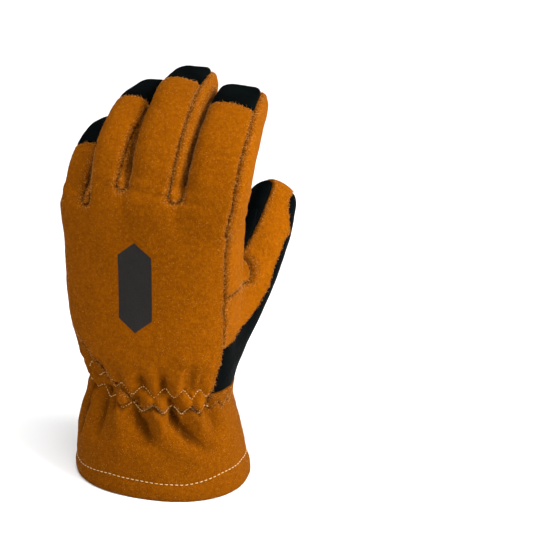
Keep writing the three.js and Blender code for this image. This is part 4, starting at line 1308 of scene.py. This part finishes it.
def leather_material(name):
    """Black grain leather: near black, a little blue, with a fine grain and soft shine"""
    if name in bpy.data.materials:
        return bpy.data.materials[name]
    color = tuple(bpy.context.scene.glove_colours.leather)
    n = Nodes(name)
    place = n.add("ShaderNodeTexCoord").outputs["Object"]
    clouds = n.noise(place, 55.0, 3.0)
    grain = n.add("ShaderNodeTexVoronoi", {"Vector": place, "Scale": 900.0}, feature="SMOOTH_F1")
    creases = n.noise(place, 300.0, 5.0, 0.6)
    paint = n.blend(n.band(clouds, 0.35, 0.65), tone(color, 0.75), tone(color, 1.5))
    paint = n.blend(n.band(creases, 0.60, 0.78, 0.0, 0.5), paint, tone(color, 2.2))
    height = n.math("ADD", n.math("MULTIPLY", grain.outputs["Distance"], 0.5),
                    n.math("MULTIPLY", creases, 0.7))
    normal = n.bump(height, 0.5, 0.0006)
    rough = n.band(clouds, 0.3, 0.7, 0.50, 0.68)
    n.shader.inputs["Specular IOR Level"].default_value = 0.02
    n.shader.inputs["IOR"].default_value = 1.25
    return n.finish(paint, rough, normal)


def thread_material(name, color, sheen=0.2):
    """Twisted sewing thread"""
    if name in bpy.data.materials:
        return bpy.data.materials[name]
    n = Nodes(name)
    place = n.add("ShaderNodeTexCoord").outputs["Object"]
    twist = n.noise(place, 2400.0, 2.0)
    paint = n.blend(n.band(twist, 0.35, 0.65), tone(color, 0.7), tone(color, 1.0))
    normal = n.bump(twist, 0.4, 0.0002)
    n.shader.inputs["Sheen Weight"].default_value = sheen
    return n.finish(paint, 0.7, normal)


# Sizes and colours for the sidebar


def length(name, default, about):
    """A size in the sidebar, given in millimetres"""
    return bpy.props.FloatProperty(name=name, default=default * MM, description=about, unit="LENGTH",
                                   min=0.0001)


class GloveSizes(bpy.types.PropertyGroup):
    """Sizes of the glove"""

    cuff_length: length("Cuff length", 58, "Hem to the narrowest part of the wrist")
    hand_length: length("Hand length", 145, "Wrist to the web between the fingers")
    cuff_half_width: length("Cuff half width", 59.5, "Half the cuff's width at the hem")
    cuff_half_depth: length("Cuff half depth", 49, "Half the cuff's depth at the hem")
    palm_half_width: length("Palm half width", 60.5, "Half the width across the palm")
    palm_half_depth: length("Palm half depth", 30, "Half the depth of the hand")
    index_length: length("Index length", 118, "Root to tip of the index finger")
    middle_length: length("Middle length", 138, "Root to tip of the middle finger")
    ring_length: length("Ring length", 130, "Root to tip of the ring finger")
    little_length: length("Little length", 104, "Root to tip of the little finger")
    finger_width: length("Finger width", 28, "Width of a finger of full size")
    finger_depth: length("Finger depth", 33, "Depth of a finger from back to palm")
    thumb_reach: length("Thumb reach", 82, "How far the thumb stands towards the palm")
    thumb_rise: length("Thumb rise", 96, "Height of the thumb's tip over its root")
    thumb_width: length("Thumb width", 31, "Width of the thumb")
    wall: length("Wall", 3, "Leather and liner together")
    seam_gap: length("Seam gap", 0.14, "Between two panels sewn edge to edge")
    panel_tip: length("Panel tip", 0.5, "From a side panel's end to the fingertip")
    grain: length("Grain", 1.15, "How finely the leather's surface is divided")


class GloveColours(bpy.types.PropertyGroup):
    """Colours of the glove"""

    suede: bpy.props.FloatVectorProperty(name="Suede", subtype="COLOR", size=3, min=0, max=1,
                                         default=(0.176, 0.0455, 0.0003),
                                         description="Colour of the orange suede")
    leather: bpy.props.FloatVectorProperty(name="Leather", subtype="COLOR", size=3, min=0, max=1,
                                           default=(0.0010, 0.0016, 0.0016),
                                           description="Colour of the black leather")
    thread: bpy.props.FloatVectorProperty(name="Thread", subtype="COLOR", size=3, min=0, max=1,
                                          default=(0.56, 0.36, 0.15),
                                          description="Colour of the thread of the hem and palm")
    gather_thread: bpy.props.FloatVectorProperty(name="Gather thread", subtype="COLOR", size=3, min=0,
                                                 max=1, default=(0.58, 0.31, 0.08),
                                                 description="Colour of the zigzag thread")


class GLOVE_OT_back(bpy.types.Operator):
    """Cuts the orange panel over the back of the hand and fingers"""

    bl_idname = "glove.back"
    bl_label = "Back panel"

    def execute(self, context):
        make_panel("back_suede", "back_panel",
                   suede_material("suede_back", 1.0, 0.7, print_on=True))
        return {"FINISHED"}


class GLOVE_OT_sides(bpy.types.Operator):
    """Cuts the side walls of the fingers and hand, which are rougher than the back and painted brighter,
    as if more lit
    """

    bl_idname = "glove.sides"
    bl_label = "Side panels"

    def execute(self, context):
        # painted light: 1.18 paints the side panels brighter than the back, as if the key lit them more
        fuzzy_and_painted_brighter = suede_material("suede_sides", 1.18, 1.3)
        for node in SIDE_WALLS:
            make_panel(node + "_suede", node, fuzzy_and_painted_brighter)
        return {"FINISHED"}


class GLOVE_OT_thumb(bpy.types.Operator):
    """Cuts the orange panel over the back of the thumb"""

    bl_idname = "glove.thumb"
    bl_label = "Thumb panel"

    def execute(self, context):
        # painted light: the thumb takes the side panels' suede, painted brighter as if more lit
        make_panel("thumb_suede", "thumb_panel", suede_material("suede_sides", 1.18, 1.3))
        return {"FINISHED"}


class GLOVE_OT_cuff(bpy.types.Operator):
    """Cuts the gathered cuff"""

    bl_idname = "glove.cuff"
    bl_label = "Cuff"

    def execute(self, context):
        # painted shade: 0.86 paints the cuff darker than the back, as if it lay in shade
        material = suede_material("suede_cuff", 0.86, 0.9)
        make_panel("cuff_back_suede", "cuff_back", material)
        make_panel("cuff_palm_suede", "cuff_palm", material)
        return {"FINISHED"}


class GLOVE_OT_palm(bpy.types.Operator):
    """Cuts the black leather of the palm, finger fronts and caps"""

    bl_idname = "glove.palm"
    bl_label = "Palm"

    def execute(self, context):
        material = leather_material("leather_palm")
        make_panel("palm_leather", "palm_panel", material)
        make_patch("patch_leather", "palm_patch", material)
        return {"FINISHED"}


class GLOVE_OT_stitches(bpy.types.Operator):
    """Sews the rows of stitches"""

    bl_idname = "glove.stitches"
    bl_label = "Stitches"

    def execute(self, context):
        prepare()
        colours = context.scene.glove_colours
        pale = thread_material("thread_pale", tuple(colours.thread))
        gold = thread_material("thread_gold", tuple(colours.gather_thread))
        gathers = [zigzag_row(True), zigzag_row(False)]
        roots = [palm_row(*FINGER_ROOT_ROW, rise) for rise in (0, 3.2)]
        arcs = [palm_row(*THUMB_ARC_ROW, rise) for rise in (0, 3.0)]
        caps = [cap_row(line, back) for line in GLOVE["fingers"].values() for back in CAP_ROWS]
        patch = [patch_border(), palm_row(*PATCH_FOLD_ROW)]
        sew_rows("hem_stitches", [hem_row()], HEM_STITCH, pale)
        sew_rows("gather_stitches", gathers, GATHER_STITCH, gold)
        sew_rows("cuff_stitches", [palm_row(*CUFF_TOP_ROW)], CUFF_STITCH, gold)
        sew_rows("palm_stitches", roots + arcs + caps, PALM_STITCH, pale,
                 panel="palm_panel")
        sew_rows("patch_stitches", patch, PALM_STITCH, pale, PATCH_THICK, "palm_panel")
        return {"FINISHED"}


class GLOVE_OT_nap(bpy.types.Operator):
    """Raises the loose fibres of the suede"""

    bl_idname = "glove.nap"
    bl_label = "Nap"

    def execute(self, context):
        suede = context.scene.glove_colours.suede
        # painted highlight: the fibres are coloured several times paler than the suede, for the light that
        # loose fibres catch
        fibre = thread_material("nap_fibre", (suede[0] * 3.3, suede[1] * 4.8, suede[2] * 60), 0.0)
        pieces = [piece for piece in GLOVE["outside"] if piece.endswith("_suede")]
        count = NAP_COUNT
        nap_mesh("nap_fibres", pieces, count, fibre)
        return {"FINISHED"}


class GLOVE_OT_stage(bpy.types.Operator):
    """Lays the pale floor and sets the lights and camera"""

    bl_idname = "glove.stage"
    bl_label = "Stage"

    def execute(self, context):
        make_floor()
        make_lights()
        make_camera()
        return {"FINISHED"}


def make_floor():
    """A pale floor too wide for its edge to show"""
    half = 40.0
    mesh = bpy.data.meshes.new("floor")
    mesh.from_pydata([(-half, -half, 0), (half, -half, 0), (half, half, 0), (-half, half, 0)], [],
                     [(0, 1, 2, 3)])
    floor = bpy.data.objects.new("floor", mesh)
    bpy.context.scene.collection.objects.link(floor)
    material = bpy.data.materials.new("pale_floor")
    material.use_nodes = True
    shader = material.node_tree.nodes["Principled BSDF"]
    shader.inputs["Base Color"].default_value = (0.85, 0.85, 0.85, 1.0)
    shader.inputs["Roughness"].default_value = 0.9
    mesh.materials.append(material)


def make_lights():
    """Soft studio light: a wide sun overhead, a key from the thumb side and a weak fill"""
    scene = bpy.context.scene
    world = bpy.data.worlds.new("studio")
    world.use_nodes = True
    background = world.node_tree.nodes["Background"]
    background.inputs["Color"].default_value = (1.0, 1.0, 1.0, 1.0)
    background.inputs["Strength"].default_value = 0.18
    scene.world = world
    middle = Vector((0.0, 0.0, 0.13))
    for name, kind, place, size, power in LIGHTS:
        data = bpy.data.lights.new(name, kind)
        data.energy = power
        if kind == "SUN":
            data.angle = size
        else:
            data.shape = "DISK"
            data.size = size
        light = bpy.data.objects.new(name, data)
        light.location = place
        light.rotation_euler = (middle - Vector(place)).to_track_quat("-Z", "Y").to_euler()
        scene.collection.objects.link(light)
    scene.view_settings.view_transform = "Standard"
    scene.view_settings.look = "None"


def make_camera():
    """The photograph's camera, aimed at the glove's middle"""
    azimuth, elevation = math.radians(CAMERA_TURN), math.radians(CAMERA_RISE)
    target = Vector(((0.0 - GLOVE_MIDDLE[0]) * MM, (0.0 - GLOVE_MIDDLE[1]) * MM, 0.132))
    back = Vector((math.sin(azimuth) * math.cos(elevation), -math.cos(azimuth) * math.cos(elevation),
                   math.sin(elevation)))
    data = bpy.data.cameras.new("photo_camera")
    data.sensor_width = 36.0
    data.lens = data.sensor_width * CAMERA_AWAY / (PHOTO_PIXELS * PHOTO_SCALE * MM)
    data.shift_x = (PHOTO_PIXELS / 2 - PHOTO_MIDDLE[0]) / PHOTO_PIXELS
    data.shift_y = (PHOTO_MIDDLE[1] - PHOTO_PIXELS / 2) / PHOTO_PIXELS
    camera = bpy.data.objects.new("photo_camera", data)
    camera.location = target + back * CAMERA_AWAY
    camera.rotation_euler = (-back).to_track_quat("-Z", "Y").to_euler()
    bpy.context.scene.collection.objects.link(camera)
    bpy.context.scene.camera = camera


class GLOVE_PT_panel(bpy.types.Panel):
    """The glove's pieces, sizes and colours"""

    bl_label = "Firefighter glove"
    bl_idname = "GLOVE_PT_panel"
    bl_space_type = "VIEW_3D"
    bl_region_type = "UI"
    bl_category = "Glove"

    def draw(self, context):
        for group in (context.scene.glove_sizes, context.scene.glove_colours):
            for name in group.__annotations__:
                self.layout.prop(group, name)
        for operator in OPERATORS:
            self.layout.operator(operator.bl_idname)


OPERATORS = (GLOVE_OT_stage, GLOVE_OT_back, GLOVE_OT_sides, GLOVE_OT_thumb, GLOVE_OT_cuff,
             GLOVE_OT_palm, GLOVE_OT_stitches, GLOVE_OT_nap)
CLASSES = (GloveSizes, GloveColours, *OPERATORS, GLOVE_PT_panel)


def register():
    """Adds the glove's classes and its sizes and colours to Blender"""
    for cls in CLASSES:
        bpy.utils.register_class(cls)
    bpy.types.Scene.glove_sizes = bpy.props.PointerProperty(type=GloveSizes)
    bpy.types.Scene.glove_colours = bpy.props.PointerProperty(type=GloveColours)


def unregister():
    """Takes them out again"""
    del bpy.types.Scene.glove_colours
    del bpy.types.Scene.glove_sizes
    for cls in reversed(CLASSES):
        bpy.utils.unregister_class(cls)


def main():
    """Makes the stage and the glove"""
    register()
    bpy.ops.glove.stage()
    bpy.ops.glove.back()
    bpy.ops.glove.sides()
    bpy.ops.glove.thumb()
    bpy.ops.glove.cuff()
    bpy.ops.glove.palm()
    bpy.ops.glove.stitches()
    bpy.ops.glove.nap()


if __name__ == "__main__":
    main()
